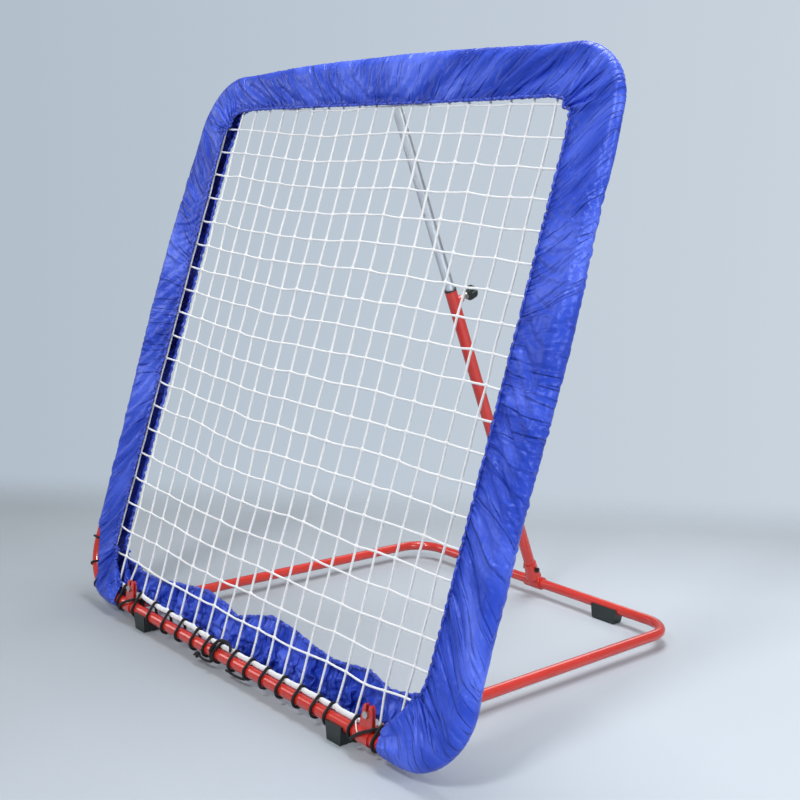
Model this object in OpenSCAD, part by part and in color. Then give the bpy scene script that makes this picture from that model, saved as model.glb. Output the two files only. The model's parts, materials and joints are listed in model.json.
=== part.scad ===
// Pitch back rebounder: a laced ball net in a tilting square tube frame,
// on a flat U-shaped base with a telescopic rear strut. Millimetres, +Z up.
// X runs across, the ball comes from -Y, and the frame leans back towards +Y.

/* [Target frame] */
// Width between the axes of the side tubes
frame_w = 1000; // [900:10:1100]
// Height along the slope, between the axes of the bottom and top tubes
frame_h = 1000; // [900:10:1100]
// Outside diameter of the frame tube
frame_tube_d = 20; // [19:0.5:21]
// Wall of the frame tube
frame_tube_wall = 1.5; // [1.2:0.1:1.8]
// Bend radius of the four corners, at the tube axis
frame_bend_r = 90; // [80:5:100]
// Lean of the frame back from upright, in degrees
lean = 16.5; // [14:0.5:19]
// Height of the bottom tube axis over the ground
axis_z = 28; // [27:0.5:31]
// Length of the swaged plug at each joint of the two hoops
swage_len = 45; // [30:5:60]

/* [Net] */
// Number of mesh columns between the side tubes
net_cols = 17; // [15:2:17]
// Number of mesh rows between the edge rope and the top tube
net_rows = 17; // [15:1:17]
// Thickness of a net strand
strand_t = 2.4; // [1.8:0.1:3]
// Thickness of the net's border cord
border_t = 3; // [2.4:0.2:4]
// Diameter of the rope along the net's bottom edge
rope_d = 8; // [7:0.5:9]
// Height of the edge rope over the bottom tube axis
rope_v = 30; // [28:0.5:32]

/* [Lacing] */
// Diameter of the elastic lacing cord
lace_d = 4.4; // [3.6:0.2:4.6]
// Lacing turns on each half of the bottom tube
lace_side_turns = 7; // [7:1:7]
// Distance of the first turn from the middle of the tube
lace_first_x = 20; // [18:1:22]

/* [Cover] */
// Radius of the padded sleeve round the tube
cover_r = 20; // [19:0.5:22]
// Reach of the sleeve from the tube axis in over the net
cover_reach = 62; // [58:1:66]
// Thickness of the sleeve's cloth
cover_wall = 1.5; // [1.2:0.1:2]
// Distance from the middle at which the sleeve ends on the bottom tube
cover_end_x = 373; // [372:0.5:376]
// Height over the bottom tube axis of the loose flap's folded top edge
flap_top = 70; // [62:1:80]
// Number of folds along the flap
flap_folds = 9; // [7:1:11]

/* [Base] */
// Depth from the hinge axis to the axis of the rear bar
base_depth = 730; // [700:5:760]
// Outside diameter of the base tube
base_tube_d = 19; // [18:0.5:20]
// Wall of the base tube
base_tube_wall = 1.5; // [1.2:0.1:1.8]
// Bend radius of the rear corners, at the tube axis
base_bend_r = 60; // [50:5:80]

/* [Hinge] */
// Width of each hinge collar along the bottom tube
collar_w = 28; // [26:1:30]
// Wall of the hinge collar's strap
collar_wall = 2.5; // [2:0.1:3]
// Height of the collar's ears over the tube axis
ear_top = 46; // [44:1:48]
// Height of the ear bolt over the tube axis
ear_bolt_z = 32; // [30:1:33]
// Lean of the ears back from upright, in degrees
ear_lean = 5; // [4:1:6]
// Diameter of the ear bolts
hinge_bolt_d = 6; // [5:0.5:6]

/* [Feet] */
// Length of each front foot along the tube
front_foot_len = 36; // [30:1:38]
// Length of each rear foot along the rear bar
rear_foot_len = 60; // [50:1:70]
// Distance of the rear feet from the middle
rear_foot_x = 185; // [150:5:220]

/* [Strut] */
// Outside diameter of the strut's outer tube
outer_tube_d = 22; // [22:0.5:23]
// Wall of the strut's outer tube
outer_tube_wall = 1.2; // [1.2:0.1:1.4]
// Distance from the foot pivot to the mouth of the outer tube
outer_tube_mouth = 655; // [640:5:670]
// Outside diameter of the strut's inner tube
inner_tube_d = 18; // [17:0.5:18]
// Wall of the strut's inner tube
inner_tube_wall = 1.2; // [1:0.1:1.5]
// Length of the inner tube from its eye to its lower end
inner_tube_len = 540; // [520:10:600]
// Distance of the top pivot below the top tube axis, down the slope
top_pivot_drop = 21; // [20:0.5:23]
// Distance of the top pivot behind the frame
top_pivot_back = 18.5; // [18:0.5:20]
// Diameter of the pivot bolt at the top and of the cross bolt at the foot
pivot_bolt_d = 6; // [5:0.5:6]

/* [Clamp] */
// Distance of the clamp screw below the mouth of the outer tube
clamp_drop = 25; // [24:1:28]
// Diameter of the clamp screw
clamp_screw_d = 8; // [6:0.5:8]
// Diameter of the clamp knob
knob_d = 26; // [24:1:30]
// Height of the clamp knob
knob_h = 20; // [16:1:24]

/* [Fits] */
// Radial clearance of a turning fit
turn_fit = 0.08; // [0.04:0.01:0.1]
// Radial clearance of a fixed fit
fixed_fit = 0.1; // [0.05:0.01:0.12]
// Gap between a soft piece and what it lies on
seat_gap = 0.3; // [0.2:0.05:0.4]

/* [Hidden] */
$fn = 72;
frame_r = frame_tube_d / 2;
base_r = base_tube_d / 2;
frame_bore_r = frame_r - frame_tube_wall;
split_v = frame_h / 2;
net_half_w = frame_w / 2 - frame_r - seat_gap;
cell_w = 2 * net_half_w / net_cols;
rope_r = rope_d / 2;
net_bottom = rope_v + rope_r + seat_gap;
net_top = frame_h - frame_r - seat_gap;
cell_h = (net_top - net_bottom) / net_rows;
rope_half_w = frame_w / 2 - frame_bend_r - 10;
lace_r = lace_d / 2;

// The hinge collars, the legs and the front feet stand midway between lacing turns.
collar_x = lace_first_x + cell_w * (lace_side_turns - 1.5);
foot_x = lace_first_x + cell_w * (lace_side_turns - 2.5);
leg_x = collar_x;
collar_r = frame_r + turn_fit + collar_wall;
ear_t = 2.5;
ear_gap = 2;
ear_clear = 0.2;
ear_root_w = collar_w - 2;
ear_tip_w = 19;
ear_window = collar_w / 2 + 4.5;
ear_face = ear_gap / 2 + ear_t;
hinge_nut_h = 5;
hinge_head_h = 4;
hinge_hex_d = 2 * hinge_bolt_d - 0.5;
weld_gap = 0.1;

// The strut runs from the rear bar to a pivot below and behind the top tube.
pivot_y = (frame_h - top_pivot_drop) * sin(lean) + top_pivot_back * cos(lean);
pivot_z = (frame_h - top_pivot_drop) * cos(lean) - top_pivot_back * sin(lean);
strut_lean = atan2(base_depth - pivot_y, pivot_z);
strut_len = norm([base_depth - pivot_y, pivot_z]);
outer_r = outer_tube_d / 2;
outer_bore_r = outer_r - outer_tube_wall;
inner_r = inner_tube_d / 2;
foot_sleeve_r = 13;
foot_sleeve_w = 40;
foot_socket_r = outer_r + 2.2;
foot_socket_top = 46;
foot_flare = 3;
foot_bolt_face = foot_socket_r + 0.4;
foot_socket_floor = base_r + 4;
foot_bolt_z = 33;
foot_bolt_head = 3.5;
foot_nut_h = 5;
eye_t = 4;
eye_r = 11;
eye_hole_r = pivot_bolt_d / 2 + 2.5;
eye_neck = 26;
bracket_t = 2.5;
bracket_gap = eye_t + 1;
bracket_r = frame_r + fixed_fit + 2.5;
bracket_ear_r = 9;
bracket_half_w = bracket_gap / 2 + bracket_t;
bush_rim_h = 2.5;
bush_len = 18;
bush_rim_r = outer_r + 0.3;
clamp_z = outer_tube_mouth - clamp_drop;
clamp_screw_r = clamp_screw_d / 2;
boss_r = clamp_screw_r + 3;
boss_end = outer_r + 9;
knob_start = boss_end + 13;

// The origin is the middle of the part's footprint, on the ground.
mid_y = (base_depth + foot_sleeve_r - cover_r) / 2;

// ---- Places -------------------------------------------------------------

// X across, Z up the slope, -Y out of the front; zero on the bottom tube axis.
module in_frame() {
    translate([0, -mid_y, axis_z])
        rotate([-lean, 0, 0])
            children();
}

// Zero on the ground below the hinge axis.
module in_base() {
    translate([0, -mid_y, 0])
        children();
}

// Z along the strut, +Y behind it; zero on the axis of the rear bar.
module along_strut() {
    translate([0, base_depth - mid_y, axis_z])
        rotate([strut_lean, 0, 0])
            children();
}

// ---- Shapes that repeat -------------------------------------------------

module tube_ring(d, wall) {
    difference() {
        circle(d = d);
        circle(d = d - 2 * wall);
    }
}

// A U of tube in the XZ plane, open at the top, with its bar along X at Z = 0.
module tube_u(width, leg, bend_r, d, wall) {
    for (side = [0, 1])
        mirror([side, 0, 0]) {
            rotate([90, 0, 90])
                linear_extrude(width / 2 - bend_r)
                    tube_ring(d, wall);
            translate([width / 2 - bend_r, 0, bend_r])
                rotate([90, 0, 0])
                    rotate([0, 0, -90])
                        rotate_extrude(angle = 90)
                            translate([bend_r, 0])
                                tube_ring(d, wall);
            translate([width / 2, 0, bend_r])
                linear_extrude(leg - bend_r)
                    tube_ring(d, wall);
        }
}

// A rectangle with round corners, standing in the XY plane on Y = 0.
module rounded_plate(half_w, height, r) {
    translate([-half_w + r, 0])
        square([2 * (half_w - r), height]);
    translate([-half_w, r])
        square([2 * half_w, height - 2 * r]);
    for (x = [r - half_w, half_w - r])
        for (y = [r, height - r])
            translate([x, y])
                circle(r = r);
}

// A hexagon bolt along +Z: its head ends at Z = 0 and its shank runs up.
module hex_bolt(d, len, head_d, head_h) {
    translate([0, 0, -head_h])
        cylinder(d = head_d, h = head_h, $fn = 6);
    cylinder(d = d, h = len);
}

module hex_nut(d, nut_d, h) {
    difference() {
        cylinder(d = nut_d, h = h, $fn = 6);
        translate([0, 0, -1])
            cylinder(d = d + 2 * fixed_fit, h = h + 2);
    }
}

// A round-headed screw along +Z: the head sits on Z = 0, the shank runs down.
module dome_screw(d, len, head_d, head_h) {
    translate([0, 0, -len])
        cylinder(d = d, h = len);
    cylinder(d1 = head_d, d2 = 0.6 * head_d, h = head_h);
}

// ---- Frame --------------------------------------------------------------

joint_screw_d = 5;
joint_screw_v = split_v + swage_len / 2;

module joint_screw_holes() {
    for (x = [-frame_w / 2, frame_w / 2])
        translate([x, 0, joint_screw_v])
            rotate([-90, 0, 0])
                cylinder(d = joint_screw_d + 2 * fixed_fit, h = frame_r + 1);
}

module upper_hoop() {
    color("firebrick")
        in_frame()
            difference() {
                translate([0, 0, frame_h])
                    mirror([0, 0, 1])
                        tube_u(frame_w, frame_h - split_v, frame_bend_r, frame_tube_d, frame_tube_wall);
                joint_screw_holes();
            }
}

module lower_hoop() {
    swage_r = frame_bore_r - fixed_fit;
    color("firebrick")
        in_frame()
            difference() {
                union() {
                    tube_u(frame_w, split_v - seat_gap, frame_bend_r, frame_tube_d, frame_tube_wall);
                    for (x = [-frame_w / 2, frame_w / 2])
                        translate([x, 0, split_v - 6])
                            difference() {
                                union() {
                                    cylinder(r = frame_r - 0.4, h = 6 - seat_gap);
                                    cylinder(r = swage_r, h = swage_len + 6);
                                }
                                translate([0, 0, -1])
                                    cylinder(r = swage_r - frame_tube_wall, h = swage_len + 8);
                            }
                }
                joint_screw_holes();
            }
}

module hoop_joint_screws() {
    color("silver")
        in_frame()
            for (x = [-frame_w / 2, frame_w / 2])
                translate([x, frame_r, joint_screw_v])
                    rotate([-90, 0, 0])
                        dome_screw(joint_screw_d, 6, 9, 2.5);
}

// ---- Net ----------------------------------------------------------------

// Openings of the mesh; the lowest row is open down to the edge rope.
module net_cells() {
    clear_w = cell_w - strand_t;
    clear_h = cell_h - strand_t;
    for (col = [0 : net_cols - 1])
        for (row = [0 : net_rows - 1]) {
            x = -net_half_w + (col + 0.5) * cell_w;
            y = (row + 0.5) * cell_h;
            drop = row == 0 ? strand_t : 0;
            translate([x - clear_w / 2, y - clear_h / 2 - drop])
                square([clear_w, clear_h + drop]);
        }
}

module net_outline() {
    inner_h = frame_h - 2 * (frame_r + seat_gap);
    difference() {
        translate([0, frame_r + seat_gap - net_bottom])
            rounded_plate(net_half_w, inner_h, frame_bend_r - frame_r - seat_gap);
        translate([-frame_w, -frame_h])
            square([2 * frame_w, frame_h]);
    }
}

module net_border() {
    inner_h = frame_h - 2 * (frame_r + seat_gap);
    inner_r = frame_bend_r - frame_r - seat_gap;
    difference() {
        net_outline();
        translate([0, frame_r + seat_gap - net_bottom + border_t])
            rounded_plate(net_half_w - border_t, inner_h - 2 * border_t, inner_r - border_t);
    }
}

// The border parts round the bracket in the middle of the top tube.
module bracket_window() {
    half_w = bracket_half_w + seat_gap;
    depth = bracket_r + 4;
    translate([-half_w, frame_h - net_bottom - depth])
        square([2 * half_w, depth]);
}

module net() {
    color("white")
        in_frame()
            translate([0, strand_t / 2, net_bottom])
                rotate([90, 0, 0])
                    linear_extrude(strand_t)
                        difference() {
                            union() {
                                difference() {
                                    net_outline();
                                    net_cells();
                                }
                                net_border();
                            }
                            bracket_window();
                        }
}

// The rope is open where the ears of the hinge collars come through the net.
module net_edge_rope() {
    inner_end = collar_x - ear_window;
    outer_start = collar_x + ear_window;
    color("white")
        in_frame()
            translate([0, 0, rope_v])
                rotate([0, 90, 0]) {
                    translate([0, 0, -inner_end])
                        cylinder(r = rope_r, h = 2 * inner_end);
                    for (start = [outer_start, -rope_half_w])
                        translate([0, 0, start])
                            cylinder(r = rope_r, h = rope_half_w - outer_start);
                }
}

// ---- Lacing -------------------------------------------------------------

// One elastic cord winds round the bottom tube and the edge rope, and passes
// in front of each hinge collar on its way from one turn to the next.
lace_low_r = frame_r + lace_r + seat_gap;
lace_top_r = rope_r + lace_r + seat_gap;
lace_side_a = acos((lace_low_r - lace_top_r) / rope_v);
lace_front_r = collar_r + lace_r + 1.7;
lace_tail = 12;
lace_start = 6;
lace_slant = 3;
lace_sides = 6;
lace_cross = 2 * lace_side_turns - 2;

function lace_x(i) =
    i < lace_side_turns
        ? -lace_first_x - cell_w * (lace_side_turns - 1 - i)
        : lace_first_x + cell_w * (i - lace_side_turns);

// Points on an arc about the height v, from angle a0 to a1, counted from up to front.
function lace_arc(v, r, a0, a1, count, x0, x1) = [
    for (k = [0 : count - 1])
        let (f = k / (count - 1), a = a0 + (a1 - a0) * f)
            [x0 + (x1 - x0) * f, -r * sin(a), v + r * cos(a)]
];

function lace_over(x0, x1) =
    lace_arc(rope_v, lace_top_r, -lace_side_a, lace_side_a, 7, x0, x1);

function lace_under(a0, x0, x1) =
    lace_arc(0, lace_low_r, a0, 360 - lace_side_a, 11, x0, x1);

function lace_turn(x) = concat(
    lace_over(x - lace_start, x),
    lace_under(lace_side_a, x, x + lace_slant)
);

// The back of the rope, where the cord turns to run along it.
function lace_back(x) = [[x, lace_top_r * sin(lace_side_a), rope_v + lace_top_r * cos(lace_side_a)]];

// From turn x0 over the rope, down in front of the collar and under the tube to turn x1.
function lace_pass(x0, x1) = concat(
    lace_over(x0 + lace_slant, x0 + lace_slant + 2),
    lace_arc(0, lace_front_r, 65, 65, 2, x0 + 12, x1 - 12),
    lace_under(95, x1 - 9, x1 - 7)
);

function lace_step(i) =
    i == 0 || i == lace_cross
        ? lace_pass(lace_x(i), lace_x(i + 1))
        : lace_back(lace_x(i) + 9);

function lace_route() = concat(
    lace_back(lace_x(0) - lace_start - lace_tail),
    [for (i = [0 : lace_cross]) each concat(lace_turn(lace_x(i)), lace_step(i))],
    lace_turn(lace_x(lace_cross + 1)),
    lace_back(lace_x(lace_cross + 1) + 8),
    lace_back(lace_x(lace_cross + 1) + lace_start + lace_tail)
);

// A tube of flat-sided rings along the points, each ring square to the route.
module route_tube(points, r, sides) {
    last = len(points) - 1;
    function unit(p) = p / norm(p);
    function heading(i) = unit(points[min(i + 1, last)] - points[max(i - 1, 0)]);
    function outward(i) =
        let (t = heading(i), out = [0, points[i][1], points[i][2] - rope_v / 2])
            unit(out - (out * t) * t);
    rings = [
        for (i = [0 : last])
            let (t = heading(i), n = outward(i), b = cross(t, n))
                for (s = [0 : sides - 1])
                    points[i] + r * (cos(360 * s / sides) * n + sin(360 * s / sides) * b)
    ];
    walls = [
        for (i = [0 : last - 1])
            for (s = [0 : sides - 1])
                let (a = i * sides + s, b = i * sides + (s + 1) % sides)
                    each [[a, a + sides, b], [b, a + sides, b + sides]]
    ];
    caps = [
        for (s = [1 : sides - 2])
            each [[0, s, s + 1], [last * sides, last * sides + s + 1, last * sides + s]]
    ];
    polyhedron(points = rings, faces = concat(walls, caps));
}

function least_gap(points, skip, d) =
    min([
        for (i = [0 : len(points) - 1 - skip])
            for (j = [i + skip : len(points) - 1])
                norm(points[i] - points[j]) - d
    ]);

module lacing_cord() {
    route = lace_route();
    echo(lacing_least_gap = least_gap(route, 8, lace_d));
    color("black")
        in_frame()
            route_tube(route, lace_r, lace_sides);
}

// ---- Cover --------------------------------------------------------------

// Section of the sleeve: X is the distance in from the tube axis, Y the height.
module sleeve_lobe(r, reach, lip) {
    side_a = acos((r - lip) / reach);
    steps = 16;
    polygon(concat(
        [for (k = [0 : steps]) let (a = side_a + (360 - 2 * side_a) * k / steps) [r * cos(a), r * sin(a)]],
        [[reach, -lip], [reach, lip]]
    ));
}

module sleeve_section() {
    lip = strand_t / 2 + seat_gap;
    difference() {
        sleeve_lobe(cover_r, cover_reach, lip + cover_wall);
        sleeve_lobe(cover_r - cover_wall, cover_reach, lip);
        translate([cover_reach - 1, -lip])
            square([2, 2 * lip]);
    }
}

// A straight run of sleeve along +X, its mouth towards +Z.
module sleeve_run(length) {
    rotate([0, 90, 0])
        rotate([0, 0, 180])
            linear_extrude(length)
                sleeve_section();
}

module sleeve_corner() {
    rotate([90, 0, 0])
        rotate_extrude(angle = 90)
            translate([frame_bend_r, 0])
                mirror([1, 0])
                    sleeve_section();
}

module sleeve_ring() {
    straight_w = frame_w - 2 * frame_bend_r;
    straight_h = frame_h - 2 * frame_bend_r;
    translate([-straight_w / 2, 0, frame_h])
        mirror([0, 0, 1])
            sleeve_run(straight_w);
    for (side = [0, 1])
        mirror([side, 0, 0]) {
            translate([frame_w / 2, 0, frame_bend_r])
                rotate([0, -90, 0])
                    sleeve_run(straight_h);
            translate([straight_w / 2, 0, frame_h - frame_bend_r])
                sleeve_corner();
            translate([straight_w / 2, 0, frame_bend_r])
                mirror([0, 0, 1])
                    sleeve_corner();
            translate([cover_end_x, 0, 0])
                sleeve_run(straight_w / 2 - cover_end_x);
        }
}

// The back of the sleeve is open round the strut's bracket.
module frame_cover() {
    slot_w = 2 * (bracket_half_w + 9);
    color("royalblue")
        in_frame()
            difference() {
                sleeve_ring();
                translate([-slot_w / 2, 3, frame_h - cover_reach - 1])
                    cube([slot_w, cover_r, cover_reach + 8]);
            }
}

// A loose strip of the same cloth behind the net, in soft upright folds.
module cover_bottom_flap() {
    flap_t = 2;
    wave = 3.5;
    middle = lace_top_r + lace_r + seat_gap + wave + flap_t / 2 + 0.4;
    bottom = 26;
    half_w = cover_end_x - seat_gap;
    steps = 12 * flap_folds;
    function fold(x) = wave * sin(180 * flap_folds * x / half_w);
    function edge(x) = flap_top - 6 + 5 * sin(130 * flap_folds * x / half_w + 40);
    xs = [for (k = [0 : steps]) half_w * (2 * k / steps - 1)];
    color("mediumblue")
        in_frame()
            intersection() {
                translate([0, middle, bottom])
                    linear_extrude(flap_top)
                        polygon(concat(
                            [for (x = xs) [x, fold(x) - flap_t / 2]],
                            [for (k = [steps : -1 : 0]) [xs[k], fold(xs[k]) + flap_t / 2]]
                        ));
                translate([0, middle + 10, 0])
                    rotate([90, 0, 0])
                        linear_extrude(20)
                            polygon(concat(
                                [[half_w, bottom], [-half_w, bottom]],
                                [for (x = xs) [x, edge(x)]]
                            ));
            }
}

// ---- Strut pivot at the top tube ----------------------------------------

top_arm = norm([top_pivot_drop, top_pivot_back]);
top_arm_a = atan2(top_pivot_back, top_pivot_drop);

// Zero on the top tube axis, -Z towards the strut's pivot.
module at_top_tube() {
    in_frame()
        translate([0, 0, frame_h])
            rotate([top_arm_a, 0, 0])
                children();
}

module bracket_ear() {
    difference() {
        union() {
            circle(r = bracket_r);
            translate([-bracket_ear_r, -top_arm])
                square([2 * bracket_ear_r, top_arm]);
            translate([0, -top_arm])
                circle(r = bracket_ear_r);
        }
        circle(r = frame_r + fixed_fit);
        translate([0, -top_arm])
            circle(d = pivot_bolt_d + 2 * fixed_fit);
    }
}

module top_bracket() {
    color("firebrick")
        at_top_tube() {
            difference() {
                rotate([0, 90, 0])
                    cylinder(r = bracket_r, h = 2 * bracket_half_w, center = true);
                rotate([0, 90, 0])
                    cylinder(r = frame_r + fixed_fit, h = 3 * bracket_half_w, center = true);
            }
            for (x = [-bracket_half_w, bracket_gap / 2])
                translate([x, 0, 0])
                    rotate([90, 0, 90])
                        linear_extrude(bracket_t)
                            bracket_ear();
        }
}

top_head_h = 4;
top_nut_h = 5;

module top_pivot_bolt() {
    color("silver")
        at_top_tube()
            translate([-bracket_half_w, 0, -top_arm])
                rotate([0, 90, 0])
                    hex_bolt(pivot_bolt_d, 2 * bracket_half_w + top_nut_h + 2, 11, top_head_h);
}

module top_pivot_nut() {
    color("silver")
        at_top_tube()
            translate([bracket_half_w, 0, -top_arm])
                rotate([0, 90, 0])
                    hex_nut(pivot_bolt_d, 11, top_nut_h);
}

// ---- Base ---------------------------------------------------------------

module base_tube() {
    color("firebrick")
        in_base()
            difference() {
                translate([0, base_depth, axis_z])
                    rotate([90, 0, 0])
                        tube_u(2 * leg_x, base_depth - 4, base_bend_r, base_tube_d, base_tube_wall);
                translate([-frame_w / 2, 0, axis_z])
                    rotate([0, 90, 0])
                        cylinder(r = collar_r + weld_gap, h = frame_w);
                for (x = [-rear_foot_x, rear_foot_x])
                    translate([x + rear_screw_shift(x), base_depth, axis_z - base_r - 1])
                        cylinder(d = rear_screw_d + 2 * fixed_fit, h = base_r);
            }
}

// A split strap round the bottom tube with two upright ears, each slotted open
// at the top into a pair of prongs, so that the bolt drops in from above.
module ear_outline() {
    difference() {
        polygon([
            [-ear_root_w / 2, 0],
            [ear_root_w / 2, 0],
            [ear_root_w / 2, frame_r + 8],
            [ear_tip_w / 2, ear_top - 3],
            [ear_tip_w / 2 - 2.5, ear_top],
            [2.5 - ear_tip_w / 2, ear_top],
            [-ear_tip_w / 2, ear_top - 3],
            [-ear_root_w / 2, frame_r + 8]
        ]);
        translate([0, ear_bolt_z])
            circle(d = hinge_bolt_d + 2 * ear_clear);
        translate([-hinge_bolt_d / 2 - ear_clear, ear_bolt_z])
            square([hinge_bolt_d + 2 * ear_clear, ear_top]);
    }
}

module at_ears(x) {
    in_base()
        translate([x, 0, axis_z])
            rotate([-ear_lean, 0, 0])
                children();
}

module hinge_collar(x) {
    color("firebrick")
        at_ears(x)
            difference() {
                union() {
                    rotate([0, 90, 0])
                        cylinder(r = collar_r, h = collar_w, center = true);
                    for (y = [-ear_gap / 2, ear_gap / 2 + ear_t])
                        translate([0, y, 0])
                            rotate([90, 0, 0])
                                linear_extrude(ear_t)
                                    ear_outline();
                }
                rotate([0, 90, 0])
                    cylinder(r = frame_r + turn_fit, h = 2 * collar_w, center = true);
                translate([-collar_w, -ear_gap / 2, 0])
                    cube([2 * collar_w, ear_gap, 2 * collar_r]);
            }
}

module hinge_collar_left() {
    hinge_collar(-collar_x);
}

module hinge_collar_right() {
    hinge_collar(collar_x);
}

module hinge_bolts() {
    color("silver")
        for (x = [-collar_x, collar_x])
            at_ears(x)
                translate([0, -ear_face, ear_bolt_z])
                    rotate([-90, 0, 0])
                        hex_bolt(hinge_bolt_d, 2 * ear_face + hinge_nut_h + 1.5, hinge_hex_d, hinge_head_h);
}

module hinge_nuts() {
    color("silver")
        for (x = [-collar_x, collar_x])
            at_ears(x)
                translate([0, ear_face, ear_bolt_z])
                    rotate([-90, 0, 0])
                        hex_nut(hinge_bolt_d, hinge_hex_d, hinge_nut_h);
}

// ---- Feet ---------------------------------------------------------------

// A block along X with sloped ends, cut to a side outline in the YZ plane.
module foot_block(len, height, slope) {
    intersection() {
        translate([-len / 2, 0, 0])
            rotate([90, 0, 90])
                linear_extrude(len)
                    children();
        translate([0, 100, 0])
            rotate([90, 0, 0])
                linear_extrude(200)
                    polygon([
                        [-len / 2 + slope, 0],
                        [len / 2 - slope, 0],
                        [len / 2, height],
                        [-len / 2, height]
                    ]);
    }
}

// A saddle under the bottom tube: it lies flat while the tube turns in it.
module front_foot(x) {
    half = frame_r + 4.5;
    back = frame_r + 14;
    top = axis_z + 1;
    color("darkslategray")
        in_base()
            translate([x, 0, 0])
                difference() {
                    foot_block(front_foot_len, top, 2.5)
                        polygon([
                            [2 - half, 0],
                            [back - 2, 0],
                            [back, axis_z - frame_r - 3],
                            [half, axis_z - 3],
                            [half, top],
                            [-half, top]
                        ]);
                    translate([0, 0, axis_z])
                        rotate([0, 90, 0])
                            cylinder(r = frame_r + seat_gap, h = 2 * front_foot_len, center = true);
                    for (y = [-6, 2, 10])
                        translate([-front_foot_len, y, -1])
                            cube([2 * front_foot_len, 2.5, 2]);
                }
}

module front_foot_left() {
    front_foot(-foot_x);
}

module front_foot_right() {
    front_foot(foot_x);
}

rear_screw_d = 4;
rear_screw_inset = 14;

// The screw lies towards the outer end of each rear foot.
function rear_screw_shift(x) = sign(x) * (rear_foot_len / 2 - rear_screw_inset);

module rear_foot(x) {
    half = base_r + 3;
    top = axis_z + 1;
    color("darkslategray")
        in_base()
            translate([x, base_depth, 0])
                difference() {
                    foot_block(rear_foot_len, top, 5)
                        polygon([
                            [2 - half, 0],
                            [half - 2, 0],
                            [half, 4],
                            [half, top],
                            [-half, top],
                            [-half, 4]
                        ]);
                    translate([0, 0, axis_z])
                        rotate([0, 90, 0])
                            cylinder(r = base_r + 0.05, h = 2 * rear_foot_len, center = true);
                    translate([rear_screw_shift(x), 0, -1])
                        cylinder(d = rear_screw_d + 2 * fixed_fit, h = axis_z);
                    translate([rear_screw_shift(x), 0, -1])
                        cylinder(d = 10, h = 9);
                }
}

module rear_foot_left() {
    rear_foot(-rear_foot_x);
}

module rear_foot_right() {
    rear_foot(rear_foot_x);
}

module rear_foot_screws() {
    color("silver")
        in_base()
            for (x = [-rear_foot_x, rear_foot_x])
                translate([x + rear_screw_shift(x), base_depth, 8])
                    mirror([0, 0, 1])
                        dome_screw(rear_screw_d, axis_z - base_r - 4, 8, 2.5);
}

// ---- Strut --------------------------------------------------------------

// A sleeve that turns on the rear bar, with a flared socket for the strut.
module strut_foot_collar() {
    flare_start = foot_sleeve_r - 1;
    color("firebrick")
        along_strut()
            difference() {
                union() {
                    rotate([0, 90, 0])
                        cylinder(r = foot_sleeve_r, h = foot_sleeve_w, center = true);
                    cylinder(r = foot_socket_r, h = foot_socket_top);
                    translate([0, 0, flare_start])
                        cylinder(r1 = foot_socket_r + foot_flare, r2 = foot_socket_r, h = foot_bolt_z - flare_start);
                }
                rotate([0, 90, 0])
                    cylinder(r = base_r + turn_fit, h = 2 * foot_sleeve_w, center = true);
                translate([0, 0, foot_socket_floor])
                    cylinder(r = outer_r + 0.05, h = foot_socket_top);
                translate([0, 0, foot_bolt_z])
                    rotate([0, 90, 0])
                        cylinder(d = pivot_bolt_d + 2 * fixed_fit, h = 4 * foot_socket_r, center = true);
                for (side = [0, 1])
                    mirror([side, 0, 0])
                        translate([foot_bolt_face, -2 * foot_socket_r, foot_bolt_z - 7])
                            cube([foot_socket_r, 4 * foot_socket_r, 14]);
            }
}

module strut_foot_bolt() {
    color("dimgray")
        along_strut()
            translate([-foot_bolt_face, 0, foot_bolt_z])
                rotate([0, 90, 0])
                    hex_bolt(pivot_bolt_d, 2 * foot_bolt_face + foot_nut_h + 1.5, 11, foot_bolt_head);
}

module strut_foot_nut() {
    color("dimgray")
        along_strut()
            translate([foot_bolt_face, 0, foot_bolt_z])
                rotate([0, 90, 0])
                    hex_nut(pivot_bolt_d, 11, foot_nut_h);
}

module strut_outer_tube() {
    start = foot_socket_floor + seat_gap;
    color("firebrick")
        along_strut()
            difference() {
                translate([0, 0, start])
                    linear_extrude(outer_tube_mouth - start)
                        tube_ring(outer_tube_d, outer_tube_wall);
                translate([0, 0, foot_bolt_z])
                    rotate([0, 90, 0])
                        cylinder(d = pivot_bolt_d + 2 * fixed_fit, h = 4 * outer_r, center = true);
                translate([0, 0, clamp_z])
                    rotate([-90, 0, 0])
                        cylinder(r = clamp_screw_r + 0.3, h = 2 * outer_r);
            }
}

// A plastic bush that lines the mouth and stands over it in a thin rim.
module strut_bush() {
    bore_r = inner_r + seat_gap;
    color("black")
        along_strut()
            translate([0, 0, outer_tube_mouth])
                difference() {
                    union() {
                        cylinder(r = bush_rim_r, h = bush_rim_h);
                        translate([0, 0, -bush_len])
                            cylinder(r = outer_bore_r - 0.05, h = bush_len + 1);
                    }
                    translate([0, 0, -bush_len - 1])
                        cylinder(r = bore_r, h = bush_len + bush_rim_h + 2);
                }
}

module clamp_boss() {
    color("firebrick")
        along_strut()
            translate([0, 0, clamp_z])
                difference() {
                    rotate([-90, 0, 0])
                        cylinder(r = boss_r, h = boss_end);
                    translate([0, 0, -2 * boss_r])
                        cylinder(r = outer_r + 0.05, h = 4 * boss_r);
                    rotate([-90, 0, 0])
                        cylinder(r = clamp_screw_r + turn_fit, h = 2 * boss_end);
                }
}

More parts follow.
